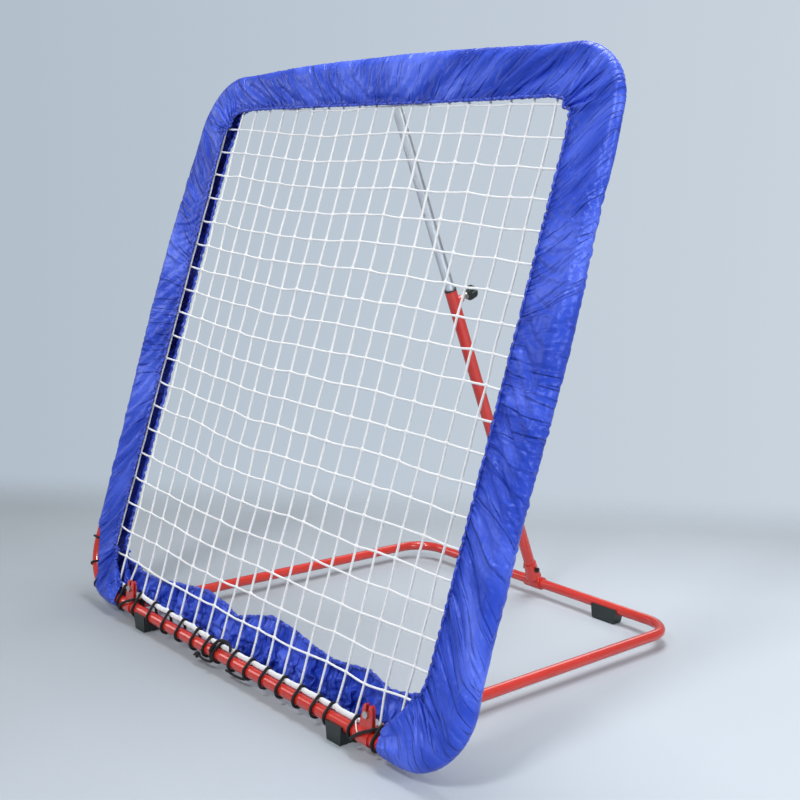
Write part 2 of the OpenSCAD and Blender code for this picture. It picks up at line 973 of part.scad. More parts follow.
// The inner tube ends in a crimped neck and a flat eye on the top pivot bolt.
module strut_inner_tube() {
    neck_start = strut_len - eye_r - eye_neck;
    crimp_a = atan2(inner_r - eye_t / 2, eye_neck);
    color("silver")
        along_strut()
            difference() {
                union() {
                    difference() {
                        translate([0, 0, strut_len - inner_tube_len])
                            cylinder(r = inner_r, h = inner_tube_len - eye_r);
                        for (side = [0, 1])
                            mirror([side, 0, 0])
                                translate([inner_r, 0, neck_start])
                                    rotate([0, -crimp_a, 0])
                                        translate([0, -inner_r - 1, 0])
                                            cube([2 * inner_r, 2 * inner_r + 2, 2 * eye_neck]);
                    }
                    translate([-eye_t / 2, 0, strut_len])
                        rotate([90, 0, 90])
                            linear_extrude(eye_t) {
                                circle(r = eye_r);
                                translate([-inner_r + 1, -eye_r - eye_neck / 2])
                                    square([2 * inner_r - 2, eye_r + eye_neck / 2]);
                            }
                }
                translate([0, 0, strut_len - inner_tube_len - 1])
                    cylinder(r = inner_r - inner_tube_wall, h = inner_tube_len - eye_r - eye_neck);
                translate([0, 0, strut_len])
                    rotate([0, 90, 0])
                        cylinder(r = eye_hole_r, h = 2 * eye_t, center = true);
            }
}

// ---- Clamp --------------------------------------------------------------

module clamp_screw() {
    tip = inner_r + seat_gap;
    color("silver")
        along_strut()
            translate([0, 0, clamp_z])
                rotate([-90, 0, 0]) {
                    translate([0, 0, tip])
                        cylinder(r1 = clamp_screw_r - 1, r2 = clamp_screw_r, h = 1);
                    translate([0, 0, tip + 1])
                        cylinder(r = clamp_screw_r, h = knob_start + knob_h - 4 - tip - 1);
                    translate([0, 0, knob_start - 3])
                        cylinder(r = clamp_screw_r + 2.5, h = 3);
                }
}

module clamp_knob() {
    flutes = 8;
    knob_r = knob_d / 2;
    flute_r = 3;
    color("black")
        along_strut()
            translate([0, 0, clamp_z])
                rotate([-90, 0, 0])
                    translate([0, 0, knob_start])
                        difference() {
                            rotate_extrude()
                                polygon([
                                    [0, 0],
                                    [knob_r - 5, 0],
                                    [knob_r, 5],
                                    [knob_r, knob_h - 3],
                                    [knob_r - 2, knob_h],
                                    [0, knob_h]
                                ]);
                            for (k = [0 : flutes - 1])
                                rotate([0, 0, (k + 0.5) * 360 / flutes])
                                    translate([knob_r + flute_r - 1.5, 0, -1])
                                        cylinder(r = flute_r, h = knob_h + 2);
                            translate([0, 0, -1])
                                cylinder(r = clamp_screw_r + 0.05, h = knob_h - 3 + seat_gap);
                        }
}

upper_hoop();
lower_hoop();
hoop_joint_screws();
net();
net_edge_rope();
lacing_cord();
frame_cover();
cover_bottom_flap();
top_bracket();
top_pivot_bolt();
top_pivot_nut();
base_tube();
hinge_collar_left();
hinge_collar_right();
hinge_bolts();
hinge_nuts();
front_foot_left();
front_foot_right();
rear_foot_left();
rear_foot_right();
rear_foot_screws();
strut_foot_collar();
strut_foot_bolt();
strut_foot_nut();
strut_outer_tube();
strut_bush();
clamp_boss();
strut_inner_tube();
clamp_screw();
clamp_knob();
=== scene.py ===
import json
import math
import random

import bmesh
import bpy
import numpy as np
from mathutils import Matrix, Vector, noise


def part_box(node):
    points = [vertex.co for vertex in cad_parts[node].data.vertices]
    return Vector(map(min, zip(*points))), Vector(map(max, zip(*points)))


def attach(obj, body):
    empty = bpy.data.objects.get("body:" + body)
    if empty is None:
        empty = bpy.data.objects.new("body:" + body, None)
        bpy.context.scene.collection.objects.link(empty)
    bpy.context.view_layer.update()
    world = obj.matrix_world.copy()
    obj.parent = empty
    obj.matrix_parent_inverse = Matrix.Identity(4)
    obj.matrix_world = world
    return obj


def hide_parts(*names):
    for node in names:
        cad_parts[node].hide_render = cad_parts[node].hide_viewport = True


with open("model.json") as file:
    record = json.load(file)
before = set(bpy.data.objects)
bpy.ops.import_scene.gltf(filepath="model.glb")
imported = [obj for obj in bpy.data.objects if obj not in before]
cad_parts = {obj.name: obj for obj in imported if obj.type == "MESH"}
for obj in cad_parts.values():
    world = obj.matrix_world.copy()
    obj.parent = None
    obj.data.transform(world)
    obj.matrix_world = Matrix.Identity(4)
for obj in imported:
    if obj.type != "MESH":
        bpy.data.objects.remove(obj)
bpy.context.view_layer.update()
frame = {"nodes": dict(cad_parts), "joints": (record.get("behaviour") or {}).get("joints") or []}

# The frame's plane: u runs across it, v up its slope from the bottom tube's axis, and n out of its front.
TUBE_R = 0.01
BEND_R = 0.09
HINGE = Vector(next(j for j in frame["joints"] if j["name"] == "frame_tilt")["pos_m"])
HOOP_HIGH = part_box("upper_hoop")[1]
SLOPE = Vector((0.0, HOOP_HIGH.y - TUBE_R, HOOP_HIGH.z - TUBE_R)) - HINGE
LEAN = math.atan2(SLOPE.y, SLOPE.z)
HALF_W = HOOP_HIGH.x - TUBE_R
HEIGHT = SLOPE.length
COVER_END = 0.373
COLLAR_U = sum(p.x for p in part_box("hinge_collar_right")) / 2

ORIGIN = np.array(HINGE)
UP = np.array((0.0, math.sin(LEAN), math.cos(LEAN)))
OUT = np.array((0.0, -math.cos(LEAN), math.sin(LEAN)))
ACROSS = np.array((1.0, 0.0, 0.0))


def in_plane(u, v, n=0.0):
    """Points from places in the frame's plane, as numbers or arrays."""
    u, v, n = np.broadcast_arrays(np.asarray(u, float), v, n)
    return ORIGIN + u[..., None] * ACROSS + v[..., None] * UP + n[..., None] * OUT


def link(obj):
    bpy.context.collection.objects.link(obj)
    return obj


# ---- camera and lamps

CAMERA_AT = (1.48832, -1.35677, 0.74755)
AZIMUTH, DOWN, ROLL = map(math.radians, (48.06, 8.98, 2.19))
LENS, SENSOR = 51.81, 36.0
AHEAD = (-math.sin(AZIMUTH), math.cos(AZIMUTH), 0.0)
ASIDE = (math.cos(AZIMUTH), math.sin(AZIMUTH), 0.0)

# Each soft box's place, its aim, its two sides and its power in watts.
LAMPS = {
    "soft_box_above": ((0, 0.3, 2.8), (0, 0, 0.3), (1.1, 1.1), 42),
    "soft_box_front": ((0.9, -2.5, 2.6), (0, -0.1, 0.5), (0.6, 0.6), 52),
    "soft_box_left": ((-2.6, -1.6, 1.6), (0.1, -0.1, 0.5), (0.9, 1.3), 12),
    "soft_box_right": ((3, 0.1, 1.5), (0.1, -0.1, 0.5), (0.7, 1.2), 38),
    "soft_box_back": ((-1.2, 2.8, 2.2), (0, 0.1, 0.4), (1.8, 1.2), 16),
}


def add_camera():
    ahead = Vector((AHEAD[0] * math.cos(DOWN), AHEAD[1] * math.cos(DOWN), -math.sin(DOWN)))
    level = Vector(ASIDE)
    above = level.cross(ahead)
    right = level * math.cos(ROLL) + above * math.sin(ROLL)
    top = above * math.cos(ROLL) - level * math.sin(ROLL)
    data = bpy.data.cameras.new("camera")
    data.lens = LENS
    data.sensor_width = SENSOR
    camera = link(bpy.data.objects.new("camera", data))
    turn = Matrix((right, top, -ahead)).transposed().to_4x4()
    camera.matrix_world = Matrix.Translation(CAMERA_AT) @ turn
    bpy.context.scene.camera = camera


def add_lamps():
    for name, (place, aim, size, power) in LAMPS.items():
        data = bpy.data.lights.new(name, "AREA")
        data.shape = "RECTANGLE"
        data.size, data.size_y = size
        data.energy = power
        lamp = link(bpy.data.objects.new(name, data))
        lamp.location = place
        lamp.rotation_euler = (Vector(aim) - Vector(place)).to_track_quat("-Z", "Y").to_euler()


# ---- materials


class Nodes:
    """A node tree. An input, with _ for a space, takes a value or another node's output."""

    def __init__(self, tree):
        self.nodes, self.links = tree.nodes, tree.links

    def feed(self, socket, value):
        if isinstance(value, bpy.types.NodeSocket):
            self.links.new(value, socket)
        else:
            socket.default_value = value

    def fill(self, node, **inputs):
        for name, value in inputs.items():
            self.feed(node.inputs[name.replace("_", " ")], value)
        return node

    def add(self, kind, **inputs):
        return self.fill(self.nodes.new("ShaderNode" + kind), **inputs)

    def math(self, operation, a, b, kind="Math"):
        node = self.add(kind)
        node.operation = operation
        for socket, value in zip(node.inputs, (a, b)):
            self.feed(socket, value)
        return node.outputs["Value"]

    def spread(self, value, low, high, to_low=0, to_high=1):
        node = self.add("MapRange", Value=value, From_Min=low, From_Max=high, To_Min=to_low, To_Max=to_high)
        return node.outputs["Result"]

    def ramp(self, value, stops):
        """A colour that follows a value, by (place, colour) stops."""
        node = self.add("ValToRGB", Fac=value)
        elements = node.color_ramp.elements
        while len(elements) < len(stops):
            elements.new(0.5)
        for element, (place, colour) in zip(elements, stops):
            element.position = place
            element.color = (*colour, 1)
        return node.outputs["Color"]


class Look(Nodes):
    """A principled material, built up by its methods. Scales are per metre."""

    def __init__(self, name, colour, roughness, **inputs):
        self.material = bpy.data.materials.new(name)
        self.material.use_nodes = True
        super().__init__(self.material.node_tree)
        self.shader = self.nodes["Principled BSDF"]
        self.bump = None
        self.place = self.add("TexCoord").outputs["Object"]
        self.set(Base_Color=(*colour, 1), Roughness=roughness, **inputs)

    def set(self, **inputs):
        self.fill(self.shader, **inputs)
        return self

    def map(self, layer):
        node = self.add("UVMap")
        node.uv_map = layer
        return node.outputs["UV"]

    def scaled(self, scale, place=None):
        """Object coordinates, or another place, times one number or three."""
        scale = scale if isinstance(scale, tuple) else (scale,) * 3
        return self.add("Mapping", Scale=scale, Vector=place or self.place).outputs["Vector"]

    def noise(self, scale, detail=3, place=None, distortion=0):
        place = self.scaled(scale, place)
        node = self.add("TexNoise", Scale=1, Detail=detail, Distortion=distortion, Vector=place)
        return node.outputs["Fac"]

    def stripes(self, scale, place=None, distortion=0):
        node = self.add("TexWave", Scale=1, Distortion=distortion, Vector=self.scaled(scale, place))
        node.bands_direction = "DIAGONAL"
        return node.outputs["Fac"]

    def tint(self, value, *stops):
        return self.set(Base_Color=self.ramp(value, stops))

    def rough(self, value, smooth, matte):
        return self.set(Roughness=self.spread(value, 0.3, 0.7, smooth, matte))

    def relief(self, value, height, strength):
        """Adds bump of that height in metres."""
        node = self.add("Bump", Height=value, Strength=strength, Distance=height)
        if self.bump:
            self.fill(node, Normal=self.bump)
        self.bump = node.outputs["Normal"]
        return self.set(Normal=self.bump)


def times(colour, factor):
    return tuple(min(1, c * factor) for c in colour)


def powder_coat(name, colour, deep, middle, pale):
    look = Look(name, colour, 0.26, Coat_Weight=0.6, Coat_Roughness=0.06)
    look.tint(look.noise(9), (0.3, deep), (0.55, middle), (0.8, pale))
    look.rough(look.noise(30, 4), 0.2, 0.28)
    return look.relief(look.noise(900, 2), 0.00012, 0.5).material


def metal(name, colour, roughness):
    look = Look(name, colour, roughness, Metallic=1)
    look.tint(look.noise(28, 4), (0.3, times(colour, 0.88)), (0.55, colour), (0.8, times(colour, 1.06)))
    look.rough(look.noise(60, 4), roughness * 0.9, roughness * 1.15)
    return look.relief(look.noise((900, 900, 60), 2), 0.00001, 0.3).material


def moulded(name, colour, deep, pale):
    look = Look(name, colour, 0.38)
    grain = look.noise(700)
    look.tint(look.noise(30, 4), (0.3, deep), (0.7, pale))
    look.rough(grain, 0.3, 0.44)
    return look.relief(grain, 0.00015, 0.6).material


def braid(name, colour, groove_shade, pitch, height, roughness):
    """Twisted or plaited yarn: two sets of fine slanting ridges, with painted shade in the grooves between
    them.
    """
    look = Look(name, colour, roughness, Sheen_Weight=0.06)
    left, right = (look.stripes((slant / pitch, 1 / pitch, 1 / pitch), distortion=0.6)
                   for slant in (1, -1))
    weave = look.math("MULTIPLY", left, right)
    # The grooves between the ridges take the darker colour: painted shade.
    look.tint(weave, (0, groove_shade), (0.45, colour), (1, colour))
    return look.relief(weave, height, 0.8).material


CUT_MAP, FOLD_MAP = "cut", "folds"
# The nylon's painted shade, its own blue and its painted highlight.
NYLON_PAINTED_SHADE, NYLON, NYLON_PAINTED_HIGHLIGHT = (0.008, 0.032, 0.38), (0.028, 0.073, 0.59), (0.1, 0.17, 0.85)
NYLON_SHINE = (0.42, 0.55, 1, 1)
HEM_SHADE_LONG = 0.017
THREADS_PER_METRE = 1400


def nylon(name):
    """Coated nylon, with creases along its gathers; its colour wanders between painted shade and painted
    highlight, with painted shade in the pleats beside the hems.
    """
    look = Look(name, NYLON, 0.3, Coat_Weight=0.08, Coat_Roughness=0.3)
    look.set(Specular_IOR_Level=0.62, Specular_Tint=NYLON_SHINE)
    cut, folds = look.map(CUT_MAP), look.map(FOLD_MAP)
    from_hem = look.add("SeparateXYZ", Vector=folds).outputs["Y"]
    by_hem = look.spread(from_hem, 0, HEM_SHADE_LONG, 1, 0)
    pleats = look.noise((190, 9, 1), 3, folds)
    # Painted shade in the hollows of the pleats beside the hems.
    shaded_dips = look.math("MULTIPLY", by_hem, look.spread(pleats, 0.42, 0.6, 0.42, 0))
    shade = look.math("SUBTRACT", look.noise((11, 7, 1), 2, folds, 0.6), shaded_dips)
    # The colour wanders at random between a painted shade and a painted highlight of the blue.
    look.tint(shade, (0.24, NYLON_PAINTED_SHADE), (0.48, NYLON), (0.7, NYLON_PAINTED_HIGHLIGHT))
    look.rough(look.noise(26, 6), 0.32, 0.42)
    creases = look.noise((44, 7, 1), 1.5, folds, 0.8)
    crumple = look.noise((16, 22, 1), 3, cut, 1.6)
    look.relief(look.spread(creases, 0.455, 0.545), 0.0036, 0.95)
    look.relief(look.spread(crumple, 0.4, 0.6), 0.002, 0.6)
    look.relief(look.math("MULTIPLY", by_hem, pleats), 0.004, 0.8)
    weave = look.stripes((THREADS_PER_METRE, THREADS_PER_METRE, 1), cut)
    return look.relief(weave, 0.00005, 0.4).material


def nylon_hem(name):
    look = Look(name, NYLON, 0.34, Sheen_Weight=0.08)
    # The hem's low puckers are painted darker as shade, and its high ones paler as painted highlight.
    shaded_dips = look.noise(230)
    look.tint(shaded_dips, (0.34, times(NYLON_PAINTED_SHADE, 0.4)), (0.52, NYLON), (0.75, NYLON_PAINTED_HIGHLIGHT))
    return look.relief(shaded_dips, 0.0012, 0.8).material


def make_looks():
    """Every material by its name."""
    recipes = {
        "red_powder_coat": (powder_coat, (0.58, 0.028, 0.018), (0.57, 0.027, 0.017), (0.62, 0.033, 0.021),
                            (0.66, 0.04, 0.026)),
        "zinc_tube": (metal, (0.82, 0.85, 0.88), 0.3),
        "zinc_fastener": (metal, (0.58, 0.57, 0.54), 0.3),
        "dark_fastener": (metal, (0.07, 0.06, 0.06), 0.38),
        # The second colour of the net and the cord is their painted groove shade.
        "white_net": (braid, (0.96, 0.965, 0.97), (0.87, 0.88, 0.9), 0.0042, 0.0003, 0.75),
        "black_cord": (braid, (0.006, 0.006, 0.007), (0.002, 0.002, 0.003), 0.005, 0.0004, 0.7),
        "black_plastic": (moulded, (0.014, 0.021, 0.02), (0.009, 0.014, 0.013), (0.018, 0.028, 0.026)),
        "blue_nylon": (nylon,),
        "blue_hem": (nylon_hem,),
    }
    return {name: make(name, *values) for name, (make, *values) in recipes.items()}


LOOKS = make_looks()


def dress_cad_nodes():
    for node in frame["nodes"].values():
        for slot in node.material_slots:
            slot.material = LOOKS[slot.material.name.split(".")[0]]


# ---- pieces and their meshes


def piece(name, points, faces, look):
    mesh = bpy.data.meshes.new(name)
    mesh.from_pydata([tuple(p) for p in points], [], [tuple(f) for f in faces])
    mesh.materials.append(LOOKS[look])
    mesh.update()
    mesh.shade_smooth()
    return link(bpy.data.objects.new(name, mesh))


def settle(obj, node):
    """Every added piece rides on the frame and stands for one of its nodes."""
    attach(obj, "frame")
    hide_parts(node)
    return obj


def grid_faces(rows, columns, closed=False):
    """Quads of a grid of points; closed joins its last column to the first."""
    faces = []
    for i in range(rows - 1):
        for j in range(columns if closed else columns - 1):
            k = (j + 1) % columns
            faces.append((i * columns + j, i * columns + k, (i + 1) * columns + k, (i + 1) * columns + j))
    return faces


def tube_faces(rings, sides):
    last = (rings - 1) * sides
    caps = [tuple(range(sides))[::-1], tuple(range(last, last + sides))]
    return grid_faces(rings, sides, closed=True) + caps


def tube_mesh(path, radii, sides):
    """A capped tube's points and faces, with one radius or one per point."""
    path = np.asarray(path, float)
    radii = np.broadcast_to(np.asarray(radii, float), (len(path),))
    ahead = np.gradient(path, axis=0)
    ahead /= np.linalg.norm(ahead, axis=1)[:, None]
    side = np.cross(ahead[0], OUT)
    if np.linalg.norm(side) < 0.2:
        side = np.cross(ahead[0], ACROSS)
    points = []
    angles = np.linspace(0, 2 * math.pi, sides, endpoint=False)
    for here, forward, radius in zip(path, ahead, radii):
        side = side - forward * np.dot(side, forward)
        side /= np.linalg.norm(side)
        other = np.cross(forward, side)
        ring = np.outer(np.cos(angles), side) + np.outer(np.sin(angles), other)
        points.extend(here + ring * radius)
    return points, tube_faces(len(path), sides)


class Parts:
    """Several closed meshes gathered into one piece."""

    def __init__(self):
        self.points, self.faces = [], []

    def add(self, points, faces):
        start = len(self.points)
        self.points.extend(points)
        self.faces.extend(tuple(start + k for k in face) for face in faces)

    def finish(self, name, look, node):
        return settle(piece(name, self.points, self.faces, look), node)


def subdivide(obj):
    modifier = obj.modifiers.new("smooth", "SUBSURF")
    modifier.levels = modifier.render_levels = 1
    shown = obj.evaluated_get(bpy.context.evaluated_depsgraph_get())
    finished = bpy.data.meshes.new_from_object(shown)
    obj.modifiers.clear()
    obj.data = finished


def read(items, field, size):
    """One field of all of a mesh's items, as rows of numbers."""
    values = np.empty(size * len(items), np.float32)
    items.foreach_get(field, values)
    return values.reshape(-1, size).astype(float)


def loop_vertices(mesh):
    return [loop.vertex_index for loop in mesh.loops]


def lay_map(obj, name, places):
    """A map with one place per vertex, in metres."""
    layer = obj.data.uv_layers.new(name=name)
    layer.data.foreach_set("uv", places.reshape(-1, 2)[loop_vertices(obj.data)].ravel())


# ---- lines along the hoop

BEND = BEND_R * math.pi / 2
SPANS = [HALF_W - BEND_R - COVER_END, BEND, HEIGHT - 2 * BEND_R, BEND, 2 * (HALF_W - BEND_R),
         BEND, HEIGHT - 2 * BEND_R, BEND, HALF_W - BEND_R - COVER_END]
MARKS = np.concatenate([[0], np.cumsum(SPANS)])
CORNERS = np.array([(MARKS[k] + MARKS[k + 1]) / 2 for k in (1, 3, 5, 7)])
LINE_STEPS = 4000


def onward(u, v, heading, gone, bent):
    """u, v and heading further along the tube, straight on or round a bend."""
    turned = np.where(bent, heading - gone / BEND_R, heading)
    u = np.where(bent, u + BEND_R * (np.sin(heading) - np.sin(turned)), u + gone * np.cos(heading))
    v = np.where(bent, v + BEND_R * (np.cos(turned) - np.cos(heading)), v + gone * np.sin(heading))
    return u, v, turned


def span_starts():
    starts = [(-COVER_END, 0, math.pi)]
    for k, length in enumerate(SPANS[:-1]):
        starts.append(onward(*starts[-1], length, k % 2 == 1))
    return np.array(starts)


STARTS = span_starts()


def on_hoop(q, inward, n):
    """Points beside the tube at lengths q along it, from the left cuff up and round."""
    span = np.clip(np.searchsorted(MARKS, q, side="right") - 1, 0, len(SPANS) - 1)
    u, v, turned = onward(*STARTS[span].T, q - MARKS[span], span % 2 == 1)
    return in_plane(u + inward * np.sin(turned), v - inward * np.cos(turned), n)


def shares(count):
    """Even steps from 0 to 1."""
    return np.linspace(0, 1, count)


def gone_along(line):
    """The length of a line up to each of its points."""
    return np.concatenate([[0], np.cumsum(np.linalg.norm(np.diff(line, axis=0), axis=1))])


def even_steps(share, inward):
    """Tube lengths of points at shares of a line beside the tube, and its length."""
    q = np.linspace(0, MARKS[-1], LINE_STEPS)
    gone = gone_along(on_hoop(q, inward(q), 0))
    return np.interp(share * gone[-1], gone, q), gone[-1]


def resampled(line, steps):
    """Points at even steps along a line, and its length."""
    gone = gone_along(line)
    at = np.linspace(0, gone[-1], steps)
    return np.stack([np.interp(at, gone, line[:, k]) for k in range(line.shape[1])], 1), gone[-1]


def by_table(x, table):
    return np.interp(x, *table.T)


def ease(x, low, high):
    t = np.clip((x - low) / (high - low), 0, 1)
    return t * t * (3 - 2 * t)


def ragged_wave(rng, length, shortest, longest):
    """An uneven zigzag: its turning points, and heights from -1 to 1."""
    turns, heights, side = [0], [0], 1
    while turns[-1] < length:
        turns.append(turns[-1] + rng.uniform(shortest, longest))
        heights.append(side * rng.uniform(0.45, 1))
        side = -side
    return np.array(turns), np.array(heights)


def rolling(points, scale, seed):
    """Smooth noise from -1 to 1 at each point."""
    shift = Vector((seed * 17.3, seed * 5.1, seed * 9.7))
    return np.array([noise.fractal(Vector(p) / scale + shift, 0.9, 2, 3) for p in points])


# ---- cloth

ACROSS_QUADS = 0.35
DRAG = 0.9


class Cloth:
    """A grid of points that settles by threads as long as on the flat cut."""

    def __init__(self, points, cut, free, bend, taken_up=0):
        """taken_up is the share of each column's length that fine pleats hold."""
        self.x = points.copy()
        self.old = points.copy()
        self.free = free[..., None].astype(float)
        keep = np.broadcast_to(1 - np.asarray(taken_up), cut.shape[:2])[..., None]
        self.threads = []
        for one, two, strength in self.pairs(bend):
            a, b = self.paired(cut, one, two)
            keep_a, keep_b = self.paired(keep, one, two)
            gap = b - a
            gap[..., :1] *= (keep_a + keep_b) / 2
            self.threads.append((one, two, np.linalg.norm(gap, axis=-1, keepdims=True), strength))

    @staticmethod
    def pairs(bend):
        """Neighbours along, across and aslant, and then every second point."""
        every, low, high = slice(None), slice(None, -1), slice(1, None)
        for step, strength in ((1, 1), (2, -bend)):
            for first in range(2 * step):
                here, there = slice(first, -step, 2 * step), slice(first + step, None, 2 * step)
                yield (here, every), (there, every), strength
                yield (every, here), (every, there), strength
                if step == 1:
                    yield (here, low), (there, high), ACROSS_QUADS
                    yield (here, high), (there, low), ACROSS_QUADS

    @staticmethod
    def paired(grid, one, two):
        a, b = grid[one], grid[two]
        rows, columns = np.minimum(a.shape, b.shape)[:2]
        return a[:rows, :columns], b[:rows, :columns]

    def pull(self, one, two, length, strength):
        """Brings pairs to their thread's length; a negative strength only pushes apart."""
        a, b = self.paired(self.x, one, two)
        free_a, free_b = self.paired(self.free, one, two)
        gap = b - a
        found = np.sqrt((gap * gap).sum(-1, keepdims=True)) + 1e-9
        off = (found - length) / found
        off = np.minimum(off, 0) * -strength if strength < 0 else off * strength
        move = gap * off / np.maximum(free_a + free_b, 1e-6)
        a += move * free_a
        b -= move * free_b

    def settle(self, steps, rounds, weight, keep_clear):
        fall = np.array((0, 0, -weight))
        for _ in range(steps):
            speed = (self.x - self.old) * DRAG
            self.old = self.x.copy()
            self.x += (speed + fall) * self.free
            for _ in range(rounds):
                for thread in self.threads:
                    self.pull(*thread)
                keep_clear(self.x)
        return self.x


def flat_cut(length, widths, rows, columns):
    """The flat cut: a grid of points on a strip, with a width for each row."""
    x = np.repeat(np.linspace(0, length, rows)[:, None], columns, axis=1)
    return np.stack([x, np.outer(widths, shares(columns))], -1)


def held_edges(rows, columns):
    """Which points of a cloth are free to move, 1 or 0: all but its edges."""
    free = np.ones((rows, columns))
    free[:, [0, -1]] = 0
    free[[0, -1], :] = 0
    return free


def hem_bead(name, line, radius, rng, node):
    """The puckered casing over a hem's elastic."""
    radii = radius * np.array([rng.uniform(0.8, 1.35) for _ in line])
    radii[[0, -1]] *= 0.4
    return settle(piece(name, *tube_mesh(line, radii, 8), "blue_hem"), node)


# ---- creases

CREASE_LONG, CREASE_WIDE = 0.055, 0.0105
CREASE_FADES, CREASE_STARTS = 0.045, 0.004
LEAN_RISES, LEAN_ENDS, LEAN_GONE, LEAN_DECAYS = 0.1, 0.24, 0.46, 0.22


def ridge(x, y, seed, sharpness):
    """From 0 to 1, highest along the lines where the noise changes sign."""
    return max(1 - abs(noise.noise(Vector((x, y, seed)))) * sharpness, 0) ** 1.5


def crease_field(along_cut, from_hem, lean):
    """Sharp ridges, 0 to 1, that lean over as they run away from a hem."""
    across = (along_cut - lean * from_hem) / CREASE_WIDE
    field = np.empty(len(across))
    for k, (x, y) in enumerate(zip(across, from_hem / CREASE_LONG)):
        broad = ridge(x * 0.55, y * 0.8, 3, 3.2)
        fine = ridge(x * 1.25, y * 1.6, 12, 3)
        patch = 0.5 + noise.noise(Vector((x * 0.07, y * 1.1, 23)))
        field[k] = broad * 0.65 * max(patch, 0.1) + fine * 0.35
    return field


def lean_to_corner(q):
    """How far creases lean over, towards the nearest corner."""
    off = CORNERS[None, :] - q[:, None]
    nearest = off[np.arange(len(q)), np.abs(off).argmin(1)]
    far = np.abs(nearest)
    steep = 0.5 + 0.9 * np.exp(-far / LEAN_DECAYS)
    return np.sign(nearest) * np.clip(far / LEAN_RISES, 0, 1) * ease(-far, -LEAN_GONE, -LEAN_ENDS) * steep


def crease(obj, width_at, lean_of, high):
    """Lifts the cloth into fine creases that run outward from its hems."""
    mesh = obj.data
    cut = np.empty((len(mesh.vertices), 2))
    cut[loop_vertices(mesh)] = read(mesh.uv_layers[CUT_MAP].data, "uv", 2)
    points = read(mesh.vertices, "co", 3)
    normals = read(mesh.vertex_normals, "vector", 3)
    along_cut, up_cut = cut.T
    width, lean = width_at(along_cut), lean_of(along_cut)
    from_hem = np.minimum(up_cut, width - up_cut)
    lay_map(obj, FOLD_MAP, np.stack([along_cut - lean * from_hem, from_hem], 1))
    fading = 0.25 + 0.75 * np.exp(-from_hem / CREASE_FADES)
    lift = high * crease_field(along_cut, from_hem, lean) * fading * ease(from_hem, 0, CREASE_STARTS)
    facing = np.sign((normals[up_cut < 0.25 * width] @ OUT).mean())
    points += normals * (facing * lift)[:, None]
    mesh.vertices.foreach_set("co", points.ravel())
    mesh.update()


# ---- the sleeve on the hoop

SLEEVE_R = 0.019
# The sleeve's radius about the tube by the length along it: slim where the cloth is drawn tight.
FIT = np.array(((0, 190), (500, 160), (900, 126), (2600, 122), (3900, 145), (6000, 190), (7500, 200),
                (8900, 150), (10400, 122), (11600, 170), (13400, 228), (16200, 228), (17600, 195),
                (19200, 145), (20200, 120), (21800, 122), (22700, 140), (23600, 185), (24400, 205),
                (25400, 180), (26600, 160), (29000, 180), (30200, 190))) / 10000
# The front and back hems, (inward, n) each.
SIDE_HEMS = ((0.068, 0.008), (0.066, -0.0165))
TOP_HEMS = ((0.054, 0.006), (0.044, -0.012))
TOP_DEEPER, TOP_EARLY = 0.013, 0.02
CORNER_REACH, CORNER_LONG = 0.017, 0.115
SECTION_STEPS, SECTION_SWELL = 25, 0.0012

SLEEVE_STEP, SLEEVE_COLUMNS = 0.0036, 42
SLEEVE_SLACK, CUT_SLACK = 1.002, 1.014
HEM_EVENNESS, HEM_PLEATS, HEM_SHARPNESS = 0.5, 0.09, 1.4
CUFF_LONG, CUFF_NARROW, CUFF_FLAT = 0.075, 0.45, 0.72
TOOTH_HIGH, TOOTH_FADES, TOOTH_AT_CUFF = 0.0042, 0.012, 0.35
FOLD_HIGH = 0.0022
UNEVEN_HIGH, UNEVEN_LONG = 0.0008, 0.03

CLOTH_CLEAR, NET_CLEAR = 0.0014, 0.0028
SNUG_CUFF, SNUG_LONG = 0.75, 0.08
FRONT_SHARE = 0.36
CREASE_HIGH = 0.0029

SLOT_FROM, SLOT_TO = 0.08, 0.206
SLOT_SIDES = (0.305, 0.6)
TIES = np.array(((840, 132), (1280, 121), (1780, 130))) / 10000
TIE_R, TIE_SLANT = 0.0018, 0.0012


def outer_line(q):
    return 0 * q - SLEEVE_R


def over_top(q):
    """1 along the top tube and 0 on the sides, changing through the corners."""
    return 1 - ease(np.abs(q - MARKS[-1] / 2), SPANS[4] / 2 - TOP_EARLY, SPANS[4] / 2 + BEND)


def corner_bump(q):
    """How much further in the hem runs at the corners."""
    nearest = np.min([np.abs(q - corner) for corner in CORNERS], axis=0)
    return CORNER_REACH * (0.5 + 0.5 * np.cos(math.pi * np.clip(nearest / CORNER_LONG, 0, 1)))


def hems_at(q):
    """The front and back hems, (inward, n) each, at lengths q along the tube."""
    top = over_top(q)[:, None, None]
    hems = np.array(SIDE_HEMS) * (1 - top) + np.array(TOP_HEMS) * top
    hems[..., 0] += (TOP_DEEPER * over_top(q) * ease(q, MARKS[4], MARKS[5]))[:, None]
    return hems


def hem_line(q):
    return hems_at(q)[:, 0, 0] + corner_bump(q)


def sleeve_section(hems, radius):
    """The sleeve's section in (inward, n), from its front hem to its back hem."""
    arc = np.linspace(math.pi / 2, 3 * math.pi / 2, SECTION_STEPS)
    ring = np.stack([radius * np.cos(arc), radius * np.sin(arc)], 1)
    t = shares(SECTION_STEPS)[:, None]
    front_hem, back_hem = hems
    swell = np.sin(math.pi * t) * SECTION_SWELL * np.array([0, 1])
    front = front_hem + (ring[0] - front_hem) * t + swell
    back = ring[-1] + (back_hem - ring[-1]) * t - swell
    return np.concatenate([front[:-1], ring, back[1:]])


def sleeve_sections(hem, columns):
    """Each row's section, as points (inward, n), and its width."""
    drawn = [resampled(sleeve_section(*fit), columns) for fit in zip(hems_at(hem), by_table(hem, FIT))]
    return np.stack([line for line, _ in drawn]), np.array([width for _, width in drawn])


